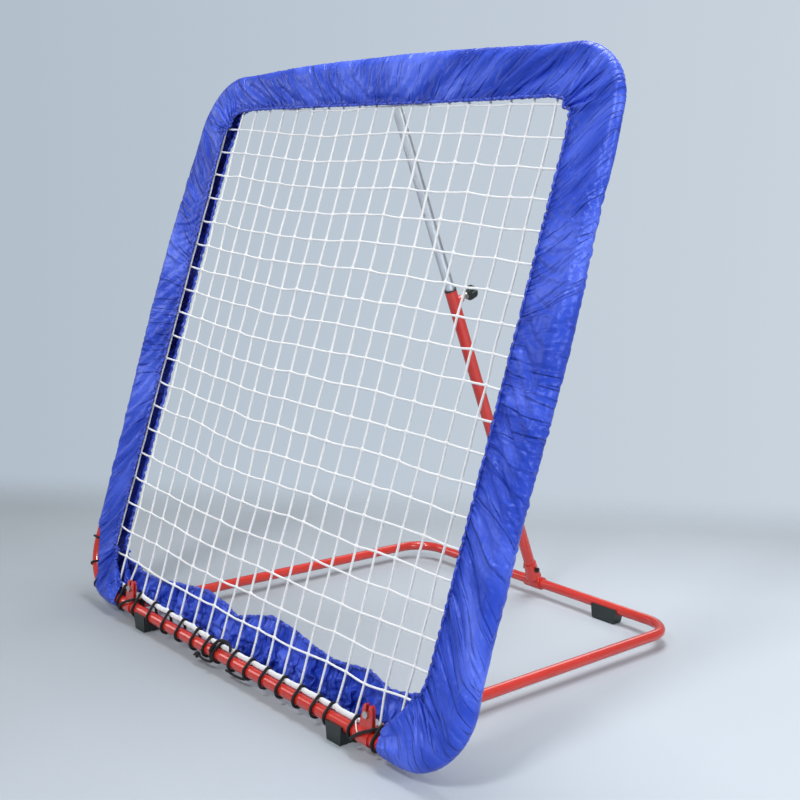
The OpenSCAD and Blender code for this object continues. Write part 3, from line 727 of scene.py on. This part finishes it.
def hemward(columns):
    """0 midway between the two hems and 1 on each, by column."""
    return np.abs(2 * shares(columns) - 1) ** HEM_SHARPNESS


def hem_slack(hem, rows, length):
    """How much the cloth is gathered at the front hem, by row."""
    line = on_hoop(hem, hem_line(hem), 0)
    shrunk = np.linalg.norm(np.gradient(line, axis=0), axis=1) * rows / length
    return np.sqrt(np.clip(1 - shrunk ** 2, 0.03, 1))


def sleeve_grid(rows, columns, length, hem_wave, fold_wave):
    """The sleeve before it settles: its points, their tube lengths and the rows' widths."""
    share, t = shares(rows), shares(columns)
    outer = even_steps(share, outer_line)[0]
    hem = HEM_EVENNESS * even_steps(share, hem_line)[0] + (1 - HEM_EVENNESS) * outer
    near_hem = hemward(columns)
    q = (1 - near_hem) * outer[:, None] + near_hem * hem[:, None]
    slack = hem_slack(hem, rows, length)
    cuff = ease(np.minimum(share, 1 - share) * length, 0, CUFF_LONG)
    section, widths = sleeve_sections(hem, columns)
    inward = section[..., 0] + corner_bump(hem)[:, None] * near_hem
    inward = inward * (CUFF_NARROW + (1 - CUFF_NARROW) * cuff[:, None])
    n = section[..., 1] * (CUFF_FLAT + (1 - CUFF_FLAT) * cuff[:, None])
    tooth = np.interp(share * length, *hem_wave)
    for edge in (0, columns - 1):
        near = np.exp(-np.outer(widths, np.abs(np.arange(columns) - edge)) / columns / TOOTH_FADES)
        depth = (TOOTH_HIGH * slack * (TOOTH_AT_CUFF + (1 - TOOTH_AT_CUFF) * cuff))[:, None] * near
        n = n + tooth[:, None] * depth
        inward = inward - np.abs(tooth)[:, None] * depth * 0.5
    fold = np.interp(share * length, *fold_wave)
    lift = np.sin(math.pi * np.clip(np.minimum(t, 1 - t) * 3, 0, 1)) * FOLD_HIGH
    n = n + (fold * slack)[:, None] * lift * np.where(t < 0.5, 1, -1)
    return on_hoop(q.ravel(), inward.ravel(), n.ravel()).reshape(rows, columns, 3), q, widths * CUT_SLACK


def sleeve_guard(q, free):
    """Keeps the sleeve off the tube, and its front and back clear of the net."""
    centre = on_hoop(q.ravel(), 0, 0).reshape(*q.shape, 3)
    ahead = np.gradient(centre, axis=0)
    ahead /= np.linalg.norm(ahead, axis=2, keepdims=True)
    snug = SNUG_CUFF + (1 - SNUG_CUFF) * ease(np.minimum(q, MARKS[-1] - q), 0, SNUG_LONG)[..., None]
    reach = np.maximum((by_table(q, FIT)[..., None] - CLOTH_CLEAR) * snug, TUBE_R + 0.0006)
    t = shares(q.shape[1])
    front, back = t < FRONT_SHARE, t > 1 - FRONT_SHARE

    def keep_clear(x):
        off = x - centre
        off -= ahead * (off * ahead).sum(-1, keepdims=True)
        far = np.sqrt((off * off).sum(-1, keepdims=True)) + 1e-9
        x += off * np.maximum(reach / far - 1, 0) * free[..., None]
        n = (x - ORIGIN) @ OUT
        x[:, front] += (np.maximum(NET_CLEAR - n, 0) * free)[:, front, None] * OUT
        x[:, back] -= (np.maximum(n + NET_CLEAR, 0) * free)[:, back, None] * OUT

    return keep_clear


def cut_slot(obj, width_at):
    """The slot low on the left, where the cover leaves the tube bare."""
    mesh = bmesh.new()
    mesh.from_mesh(obj.data)
    layer = mesh.loops.layers.uv[CUT_MAP]
    gone = []
    for face in mesh.faces:
        x, y = np.mean([corner[layer].uv for corner in face.loops], axis=0)
        share = (x - SLOT_FROM) / (SLOT_TO - SLOT_FROM)
        narrow = 0.5 * abs(2 * share - 1) ** 3 * (SLOT_SIDES[1] - SLOT_SIDES[0])
        if 0 < share < 1 and SLOT_SIDES[0] + narrow < y / width_at(x) < SLOT_SIDES[1] - narrow:
            gone.append(face)
    bmesh.ops.delete(mesh, geom=gone, context="FACES")
    mesh.to_mesh(obj.data)
    mesh.free()


def slot_ties():
    turns = np.linspace(0, 2.04 * math.pi, 40)
    parts = Parts()
    for q, radius in TIES:
        path = on_hoop(q + TIE_SLANT * np.sin(turns), radius * np.cos(turns), radius * np.sin(turns))
        parts.add(*tube_mesh(path, TIE_R, 8))
    parts.finish("slot_ties", "black_cord", "lacing_cord")


def sleeve():
    """The blue sleeve: a strip of cloth round the hoop, gathered at both hems."""
    rng = random.Random(5)
    length = even_steps(np.zeros(1), outer_line)[1] * SLEEVE_SLACK
    hem_wave = ragged_wave(rng, length, 0.006, 0.011)
    fold_wave = ragged_wave(rng, length, 0.006, 0.015)
    rows, columns = int(length / SLEEVE_STEP), SLEEVE_COLUMNS
    plain, q, widths = sleeve_grid(rows, columns, length, hem_wave, fold_wave)
    cut = flat_cut(length, widths, rows, columns)
    free = held_edges(rows, columns)
    uneven = (rolling(plain.reshape(-1, 3), UNEVEN_LONG, 2) * UNEVEN_HIGH).reshape(rows, columns, 1)
    points = np.where(free[..., None] > 0, plain + OUT * uneven, plain)
    cloth = Cloth(points, cut, free, 0.02, HEM_PLEATS * hemward(columns))
    points = cloth.settle(45, 8, 0.00002, sleeve_guard(q, free))
    obj = piece("sleeve_cover", points.reshape(-1, 3), grid_faces(rows, columns), "blue_nylon")
    lay_map(obj, CUT_MAP, cut)
    subdivide(obj)

    def width_at(x):
        return np.interp(x, cut[:, 0, 0], widths)

    crease(obj, width_at, lambda x: lean_to_corner(x / length * MARKS[-1]), CREASE_HIGH)
    cut_slot(obj, width_at)
    settle(obj, "frame_cover")
    hems = [hem_bead("sleeve_hem_" + name, points[:, edge], 0.0024, rng, "frame_cover")
            for name, edge in (("front", 0), ("back", -1))]


# ---- the loose strip behind the net

# The height of the flap's gathered top above the tube's axis, across the frame.
FLAP_TOP = np.array(((-436, 74), (-420, 64), (-373, 61), (-286, 61), (-212, 73), (-134, 82), (-79, 76),
                     (-37, 65), (-14, 72), (49, 90), (107, 87), (170, 76), (218, 71), (265, 77), (298, 81),
                     (344, 69), (390, 75), (428, 78))) / 1000
FLAP_FOOT, FLAP_END, FLAP_N = 0.012, 0.436, -0.0145
FLAP_GATHER, FLAP_DROOP = 1.34, 1.22
FLAP_FOLD, FLAP_TOOTH = 0.007, 0.0018
FLAP_FRONT, FLAP_BACK = -0.0035, -0.0215
LACED_FRONT, LACED_TOP = -0.01, 0.036
EARS_FRONT, EARS_TOP = -0.0125, 0.056
TUCK_BACK, TUCK_THIN = -0.03, 0.002
ARM_LINE, ARM_SLOPE = 0.0155, 0.59
FLAP_CREASE = 0.0012


def by_collars(u, near, far):
    """1 up to near from the middles of the two hinge collars, and 0 beyond far."""
    return 1 - ease(np.abs(np.abs(u) - COLLAR_U), near, far)


def by_arms(u):
    """1 beside the base's arms, which the flap's foot meets when the frame tilts back."""
    return by_collars(u, 0.0125, 0.024)


def tucked(u):
    """0 along the open tube and 1 behind the sleeve's two ends."""
    return ease(np.abs(u), COVER_END - 0.012, COVER_END + 0.01)


def flap_limits(u, v):
    """How far the flap may swell to the front and back."""
    front = np.where(v < LACED_TOP, LACED_FRONT, FLAP_FRONT)
    by_ears = FLAP_FRONT + (EARS_FRONT - FLAP_FRONT) * by_collars(u, 0.016, 0.028)
    front = np.where(v < EARS_TOP, np.minimum(front, by_ears), front)
    front = front + (TUCK_BACK + TUCK_THIN - front) * tucked(u)
    back = FLAP_BACK + (TUCK_BACK - 0.003 - FLAP_BACK) * tucked(u)
    back = back + np.maximum((ARM_LINE - v) / ARM_SLOPE - back, 0) * by_arms(u)
    return front, np.minimum(back, front)


def flap_grid(u, foot, top, length, columns, rng):
    """The flap before it settles: coarse folds, and fine teeth along its top."""
    along_cut = shares(len(u)) * length
    t = shares(columns)
    fold = np.interp(along_cut, *ragged_wave(rng, length, 0.01, 0.032))
    tooth = np.interp(along_cut, *ragged_wave(rng, length, 0.005, 0.01))
    v = foot[:, None] + np.outer(top - foot, t)
    middle = FLAP_N + (TUCK_BACK - FLAP_N) * tucked(u)
    swell = np.outer(fold * FLAP_FOLD * (1 - 0.8 * tucked(u)), np.sin(math.pi * np.clip(t * 1.15, 0, 1)))
    n = middle[:, None] + swell + np.outer(tooth * FLAP_TOOTH, t ** 4)
    return in_plane(np.repeat(u[:, None], columns, 1), v, n)


def flap_guard(free):
    def keep_clear(x):
        from_hinge = x - ORIGIN
        depth = from_hinge @ OUT
        front, back = flap_limits(x @ ACROSS, from_hinge @ UP)
        x -= (np.maximum(depth - front, 0) * free)[..., None] * OUT
        x += (np.maximum(back - depth, 0) * free)[..., None] * OUT

    return keep_clear


def bottom_flap():
    """The strip of the same cloth behind the net's foot, gathered along its top."""
    rng = random.Random(12)
    rows, columns = 240, 20
    u = (2 * shares(rows) - 1) * FLAP_END
    top = by_table(u, FLAP_TOP)
    foot = FLAP_FOOT + (ARM_LINE - ARM_SLOPE * FLAP_N - FLAP_FOOT) * by_arms(u)
    length = 2 * FLAP_END * FLAP_GATHER
    points = flap_grid(u, foot, top, length, columns, rng)
    cut = flat_cut(length, (top - foot) * FLAP_DROOP, rows, columns)
    widest = float(cut[..., 1].max())
    free = held_edges(rows, columns)
    points = Cloth(points, cut, free, 0.04).settle(40, 8, 0.00004, flap_guard(free))
    obj = piece("flap_cloth", points.reshape(-1, 3), grid_faces(rows, columns), "blue_nylon")
    lay_map(obj, CUT_MAP, cut)
    subdivide(obj)
    crease(obj, lambda x: 2 * widest + 0 * x, lambda x: 0 * x, FLAP_CREASE)
    settle(obj, "cover_bottom_flap")
    bead = hem_bead("flap_hem", points[:, -1], 0.003, rng, "cover_bottom_flap")


# ---- net

COLUMN_PITCH, ROW_PITCH = 0.0437, 0.0458
FIRST_ROW = 0.089
COLUMNS = range(-11, 12)
ROWS = 20
NET_SIDE, NET_TOP = 0.489, HEIGHT - 0.001
STRAND_R, CROSS_R, KNOT_R = 0.00195, 0.00178, 0.0035
STRAND_STEP = 0.012
STRAND_BOW, CROSS_BOW = 0.0006, 0.0011
# How far the rows 0, 5 and 18 hang below their straight places, at seven places across.
DROP_AT = ((-0.44, -0.3, -0.15, 0, 0.15, 0.3, 0.44), (0, 5, 18))
ROW_DROP = np.array(((-10, -16, -20, -21, -23, -22, -13), (2, -9, -22, -22, -24, -26, -29),
                     (0, -11, -22, -24, -25, -33, -41))) / 1000


def smooth_line(points, step):
    """A Catmull-Rom curve through the points, with points about a step apart."""
    p = np.asarray(points, float)
    p = np.concatenate([[2 * p[0] - p[1]], p, [2 * p[-1] - p[-2]]])
    line = []
    for a, b, c, d in zip(p[:-3], p[1:-2], p[2:-1], p[3:]):
        count = max(1, int(round(np.linalg.norm(c - b) / step)))
        for t in np.arange(count) / count:
            line.append(0.5 * (2 * b + (c - a) * t + (2 * a - 5 * b + 4 * c - d) * t * t
                               + (3 * b - a - 3 * c + d) * t ** 3))
    line.append(p[-2])
    return np.array(line)


def plane_line(flat, step):
    """A smooth line through points given as (u, v, n)."""
    return smooth_line(in_plane(*np.array(flat).T), step)


def row_drop(u, r):
    """How far row r of the sagging net hangs below its straight place at u."""
    at_rows = [np.interp(u, DROP_AT[0], drops) for drops in ROW_DROP]
    return float(np.interp(r, DROP_AT[1], at_rows))


def held_by_hoop(point):
    high = point[1] > HEIGHT / 2
    bend = np.array([math.copysign(HALF_W - BEND_R, point[0]), HEIGHT - BEND_R if high else BEND_R])
    off = point[:2] - bend
    far = np.hypot(*off)
    if off[0] * bend[0] > 0 and off[1] * (bend[1] - HEIGHT / 2) > 0 and far > BEND_R:
        point[:2] = bend + off * BEND_R / far
    return point


def net_grid():
    """Where the strands cross, as (u, v, n), each a little off its place."""
    rng = random.Random(31)
    knots = np.empty((ROWS, len(COLUMNS), 3))
    for r in range(ROWS):
        for c, k in enumerate(COLUMNS):
            inside = min(1, (COLUMNS[-1] - abs(k)) / 2)
            drift = noise.noise(Vector((k * 0.23, r * 0.33, 9)))
            wave = noise.noise(Vector((k * 0.31, r * 0.27, 4)))
            u, v = k * COLUMN_PITCH, FIRST_ROW + r * ROW_PITCH + row_drop(k * COLUMN_PITCH, r)
            knots[r, c] = (u + (rng.uniform(-0.001, 0.001) + drift * 0.003) * inside,
                           v + (rng.uniform(-0.0014, 0.0014) + wave * 0.004) * inside,
                           rng.uniform(-0.0005, 0.0005))
            held_by_hoop(knots[r, c])
    return knots


def bowed(points, rng, amount):
    """Adds a slightly bowed middle between each two points."""
    out = [points[0]]
    for a, b in zip(points[:-1], points[1:]):
        bow = np.array([rng.uniform(-amount, amount), rng.uniform(-amount, 0.3 * amount), 0])
        out.extend([(a + b) / 2 + bow, b])
    return np.array(out)


def net_strands(knots, rng):
    parts = Parts()
    for c, k in enumerate(COLUMNS):
        top = held_by_hoop(np.array([knots[-1, c, 0], NET_TOP, 0]))
        flat = bowed(np.concatenate([[strand_foot(k)], knots[:, c], [top]]), rng, STRAND_BOW)
        parts.add(*tube_mesh(plane_line(flat, STRAND_STEP), STRAND_R, 6))
    for row in knots:
        left, right = (held_by_hoop(np.array([side * NET_SIDE, row[column, 1], 0]))
                       for side, column in ((-1, 0), (1, -1)))
        flat = bowed(np.concatenate([[left], row, [right]]), rng, CROSS_BOW)
        parts.add(*tube_mesh(plane_line(flat, STRAND_STEP), CROSS_R, 6))
    parts.finish("net_strands", "white_net", "net")


def net_knots(knots, rng):
    """A small ball on each crossing, pinched on three sides."""
    parts = Parts()
    ball = bmesh.new()
    bmesh.ops.create_icosphere(ball, subdivisions=2, radius=1)
    shape = np.array([v.co for v in ball.verts])
    faces = [tuple(v.index for v in f.verts) for f in ball.faces]
    ball.free()
    for knot in knots.reshape(-1, 3):
        turn = rng.uniform(0, math.pi)
        pinch = 1 + 0.16 * np.sin(3 * np.arctan2(shape[:, 1], shape[:, 0]) + turn)
        size = KNOT_R * rng.uniform(0.88, 1.15)
        local = shape * pinch[:, None] * (size, size * 1.05, size * 0.78)
        parts.add(in_plane(*(knot + local).T), faces)
    parts.finish("net_knots", "white_net", "net")


def net():
    rng = random.Random(8)
    knots = net_grid()
    net_strands(knots, rng)
    net_knots(knots, rng)


# ---- the net's edge band

# Where the lacing's turns cross the band: beside each strand in the middle, and looser outside.
HITCH = (-0.0495, -0.0382)
INNER_WRAPS = [-0.308, -0.2565, -0.2055, -0.1585, -0.1105, -0.0715, *HITCH]
INNER_WRAPS += [k * COLUMN_PITCH + 0.005 for k in range(0, 6)] + [0.255, 0.311]
END_WRAP = 0.363
WRAPS = [-END_WRAP, *INNER_WRAPS, END_WRAP]
BAND_STRANDS = range(-9, 10)
BAND_LINE = np.array(((-4000, 270), (-3300, 270), (-3000, 250), (-2650, 225), (-2000, 215), (-1300, 195),
                      (-900, 170), (-500, 150), (3300, 150), (3620, 180), (3800, 235), (4000, 250))) / 10000
BAND_GAP_FROM, BAND_GAP_TO, BAND_END = 0.3178, 0.357, 0.4
BAND_TALL, BAND_THICK = 0.0043, 0.0027
BAND_STEP, BAND_SIDES = 0.0016, 14
DRAWN_UP, HELD_DOWN, PEAK_HIGH = 0.0016, 0.0003, 0.0026


def wrap_pinch(u, reach=0.0035):
    """1 under each turn of the lacing and 0 between them."""
    return np.clip(sum(np.exp(-((u - w) / reach) ** 2) for w in WRAPS), 0, 1)


def band_height(u):
    """The band's middle, held down by the lacing and drawn up by the strands."""
    pull = np.clip(sum(np.exp(-np.abs(u - k * COLUMN_PITCH) / 0.006) for k in BAND_STRANDS), 0, 1)
    return by_table(u, BAND_LINE) + DRAWN_UP * pull * (1 - wrap_pinch(u)) - HELD_DOWN * wrap_pinch(u)


def strand_foot(k):
    u = k * COLUMN_PITCH
    if BAND_GAP_FROM - 0.004 < abs(u) < BAND_GAP_TO + 0.004:
        u = math.copysign(BAND_GAP_TO + 0.0015, u)
    u = math.copysign(min(abs(u), BAND_END - 0.002), u)
    return np.array([u, float(band_height(u)) + 0.0015, 0])


def band_length(low, high):
    u = np.arange(low, high, BAND_STEP)
    v = band_height(u)
    pinch = wrap_pinch(u, 0.0042)
    tip = ease(np.minimum(u - low, high - u), -0.001, 0.004)
    feet = [float(strand_foot(k)[0]) for k in BAND_STRANDS]
    peak = np.clip(sum(np.exp(-((u - foot) / 0.003) ** 2) for foot in feet), 0, 1)
    crumple = 1 + 0.13 * rolling(in_plane(u, v), 0.009, 6)
    tall = BAND_TALL * (1 - 0.3 * pinch) * (0.35 + 0.65 * tip) * crumple
    thick = BAND_THICK * (1 - 0.15 * pinch) * (0.4 + 0.6 * tip) * crumple
    angles = np.linspace(0, 2 * math.pi, BAND_SIDES, endpoint=False)
    flat = np.sign(np.sin(angles)) * np.abs(np.sin(angles)) ** 0.7
    peaks = np.outer(peak * PEAK_HIGH, np.clip(np.sin(angles), 0, 1) ** 3)
    ring_v = v[:, None] + np.outer(tall, flat) + peaks
    ring_n = np.outer(thick, np.cos(angles)) * (1 + 0.25 * rolling(in_plane(u * 3, v), 0.02, 8))[:, None]
    points = in_plane(np.repeat(u[:, None], BAND_SIDES, 1), ring_v, ring_n).reshape(-1, 3)
    return points, tube_faces(len(u), BAND_SIDES)


def edge_band():
    parts = Parts()
    for low, high in ((-BAND_END, -BAND_GAP_TO), (-BAND_GAP_FROM, BAND_GAP_FROM), (BAND_GAP_TO, BAND_END)):
        parts.add(*band_length(low, high))
    parts.finish("edge_band", "white_net", "net_edge_rope")


# ---- the lacing

LACE_R = 0.0024
LACE_ON_TUBE = TUBE_R + LACE_R + 0.0002
LACE_ON_BAND = BAND_TALL * 0.72 + LACE_R
LACE_STEP = 0.0022
# The turn in front of a hinge collar: its angle, its place beside the collar's middle and its radius.
COLLAR_PASS = ((180, -0.0162, 0.0128), (150, -0.0162, 0.0132), (135, -0.016, 0.0148), (118, -0.0138, 0.0162),
               (100, -0.008, 0.0167), (80, -0.0008, 0.0167), (62, 0.0062, 0.0167), (46, 0.0122, 0.0167),
               (33, 0.0157, 0.0167), (18, 0.0164, 0.0164), (0, 0.0165, 0.0158), (-30, 0.0167, 0.015),
               (-60, 0.017, 0.014))
# The hitch's two tails and its arch, and the white string on the right, as (u, v, n).
TAIL_R = LACE_R * 0.92
TAIL_1 = np.array(((-470, -142, 45), (-540, -158, 66), (-640, -166, 85), (-740, -152, 96),
                   (-815, -138, 98))) / 10000
TAIL_2 = np.array(((455, -146, 30), (350, -158, 42), (210, -162, 55), (80, -150, 66),
                   (-40, -146, 68))) / 10000
ARCH = np.array(((-440, 20, 172), (-430, 120, 160), (-385, 215, 110), (-300, 262, 72), (-180, 262, 62),
                 (-70, 222, 70), (-5, 150, 100))) / 10000
STRING = np.array(((3160, 155, 30), (3182, 165, 80), (3222, 150, 125), (3290, 85, 154),
                   (3345, 10, 150))) / 10000
STRING_R = 0.0009
KNOT_SIZE, KNOT_CORD_R, KNOT_END_R = 0.00125, 0.0026, 0.0018


def on_ring(u, v, radius, degrees):
    """A point about the line at height v: 0 degrees is up, and 90 is in front."""
    turn = math.radians(degrees)
    return (u, v + radius * math.cos(turn), radius * math.sin(turn))


def lace_turn(u, at_front=0):
    """One turn: round the tube from behind, up the front and over the band."""
    v = float(band_height(u))
    side = math.degrees(math.acos((LACE_ON_TUBE - LACE_ON_BAND) / v))
    low = [on_ring(u + at_front * math.sin(math.radians(a)) ** 2, 0, LACE_ON_TUBE, a)
           for a in np.linspace(200, side, 10)]
    return low + [on_ring(u, v, LACE_ON_BAND, a) for a in np.linspace(side, -100, 9)[1:]]


def lace_behind(a, b):
    """From one turn's end behind the band to the back of the tube."""
    gap = b - a
    drop = min(gap, 0.03)
    run = [(u, float(band_height(u)), -LACE_ON_BAND - 0.0004)
           for u in np.linspace(a + 0.15 * gap, b - 0.45 * drop, 3)]
    fall = [on_ring(b - share * drop, 0, LACE_ON_TUBE + 0.0006, -angle)
            for share, angle in ((0.28, 62), (0.16, 95), (0.06, 130))]
    return run + fall


def lace_collar(before, middle):
    """From the turn before to a hinge collar, and slanting over it."""
    over = [on_ring(middle + shift, 0, radius, angle) for angle, shift, radius in COLLAR_PASS]
    return lace_behind(before, middle - 0.0162) + over


def lace_route():
    first, last = ((side * (COVER_END + 0.004), float(band_height(side * END_WRAP)), -LACE_ON_BAND)
                   for side in (-1, 1))
    route = [first] + lace_turn(-END_WRAP) + lace_collar(-END_WRAP, -COLLAR_U)
    for u in INNER_WRAPS:
        at_front = {HITCH[0]: 0.0032, HITCH[1]: -0.0032}.get(u, 0)
        route += lace_behind(route[-1][0], u) + lace_turn(u, at_front)
    route += lace_collar(INNER_WRAPS[-1], COLLAR_U)
    return route + lace_behind(COLLAR_U + 0.017, END_WRAP) + lace_turn(END_WRAP) + [last]


def lace(name, flat, radius, with_pieces=()):
    """A length of the black cord along points given as (u, v, n)."""
    path = plane_line(flat, LACE_STEP)
    radii = np.full(len(path), radius)
    radii[[0, -1]] *= 0.6
    obj = settle(piece(name, *tube_mesh(path, radii, 10), "black_cord"), "lacing_cord")
    route = [tuple(p) for p in path]
    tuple(route[0])


def tail_knot():
    turns = np.linspace(0, 2 * math.pi, 60)
    local = np.stack([np.sin(turns) + 2 * np.sin(2 * turns), np.cos(turns) - 2 * np.cos(2 * turns),
                      -1.2 * np.sin(3 * turns)], 1) * KNOT_SIZE
    centre = TAIL_1[-1] + (-0.003, 0, 0)
    parts = Parts()
    parts.add(*tube_mesh(in_plane(*(centre + local).T), KNOT_CORD_R, 8))
    end = [centre, centre + (-0.0055, -0.0015, 0.001), centre + (-0.009, -0.0035, 0.0005)]
    parts.add(*tube_mesh(plane_line(end, 0.002), KNOT_END_R, 8))
    return parts.finish("tail_knot", "black_cord", "lacing_cord")


def lacing():
    lace("lacing", lace_route(), LACE_R)
    lace("lacing_arch", ARCH, LACE_R)
    lace("lacing_tail_knotted", TAIL_1, TAIL_R, [tail_knot()])
    lace("lacing_tail", TAIL_2, TAIL_R)
    string = tube_mesh(plane_line(STRING, LACE_STEP), STRING_R, 8)
    settle(piece("band_string", *string, "white_net"), "net_edge_rope")


# ---- floor and wall

SWEEP_AT = 0.76
# The wall's colours at its left and right: painted light, paler to the right.
WALL_SHADED_LEFT, WALL_LIT_RIGHT = (0.445, 0.52, 0.595), (0.585, 0.655, 0.735)
WALL_WIDE = 0.34
FLOOR_COLOUR = (0.49, 0.54, 0.59)
FLOOR_HALF = 9
# The middle of the painted shadow under the net.
PAINTED_SHADOW_AT = (-0.25, -0.3, 0)
FILL_COLOUR, FILL_STRENGTH = (0.84, 0.88, 0.94, 1), 0.34


def floor_look():
    """Pale paper that fades out far off, with painted shade: darker to the left, towards the far edge and in
    a painted shadow under the net.
    """
    look = Look("floor", FLOOR_COLOUR, 0.72)
    paper = look.ramp(look.noise(1.3), ((0.3, FLOOR_COLOUR), (0.7, times(FLOOR_COLOUR, 1.05))))
    away, right = (look.math("DOT_PRODUCT", look.place, way, "VectorMath") for way in (AHEAD, ASIDE))
    off = look.math("DISTANCE", look.place, PAINTED_SHADOW_AT, "VectorMath")
    # Painted shade: darker towards the far edge, darker to the left as painted light falloff, and a painted
    # shadow under the net.
    far = look.spread(away, SWEEP_AT - 0.5, SWEEP_AT + 0.02, 1, 0.78)
    shade = look.math("MULTIPLY", far, look.spread(right, -0.9, 0.9, 0.8, 1.16))
    shade = look.math("MULTIPLY", shade, look.spread(off, 0.05, 0.85, 0.8, 1))
    shown = look.spread(away, SWEEP_AT - 0.06, SWEEP_AT + 0.42, 1, 0)
    shown.node.interpolation_type = "SMOOTHSTEP"
    darker = look.add("VectorMath")
    darker.operation = "SCALE"
    look.fill(darker, Vector=paper, Scale=shade)
    return look.set(Base_Color=darker.outputs["Vector"], Alpha=shown).material


def add_floor():
    mesh = bpy.data.meshes.new("floor")
    corners = [(x * FLOOR_HALF, y * FLOOR_HALF, 0) for x, y in ((-1, -1), (1, -1), (1, 1), (-1, 1))]
    mesh.from_pydata(corners, [], [range(4)])
    mesh.materials.append(floor_look())
    link(bpy.data.objects.new("floor", mesh))


def light_world():
    """Soft light from all round, which the camera sees as a wall with painted light, paler to the right."""
    world = bpy.data.worlds.new("studio")
    bpy.context.scene.world = world
    world.use_nodes = True
    tree = Nodes(world.node_tree)
    soft = tree.fill(tree.nodes["Background"], Color=FILL_COLOUR, Strength=FILL_STRENGTH)
    place = tree.add("TexCoord").outputs["Generated"]
    right = tree.math("DOT_PRODUCT", place, ASIDE, "VectorMath")
    colour = tree.ramp(tree.spread(right, -WALL_WIDE, WALL_WIDE), ((0, WALL_SHADED_LEFT), (1, WALL_LIT_RIGHT)))
    wall = tree.add("Background", Color=colour)
    both = tree.add("MixShader", Fac=tree.add("LightPath").outputs["Is Camera Ray"])
    for socket, side in zip(both.inputs[1:], (soft, wall)):
        tree.feed(socket, side.outputs["Background"])
    tree.fill(tree.nodes["World Output"], Surface=both.outputs["Shader"])


add_camera()
add_lamps()
light_world()
add_floor()
bpy.context.scene.view_settings.view_transform = "Standard"
dress_cad_nodes()

sleeve()
slot_ties()
bottom_flap()
net()
edge_band()
lacing()
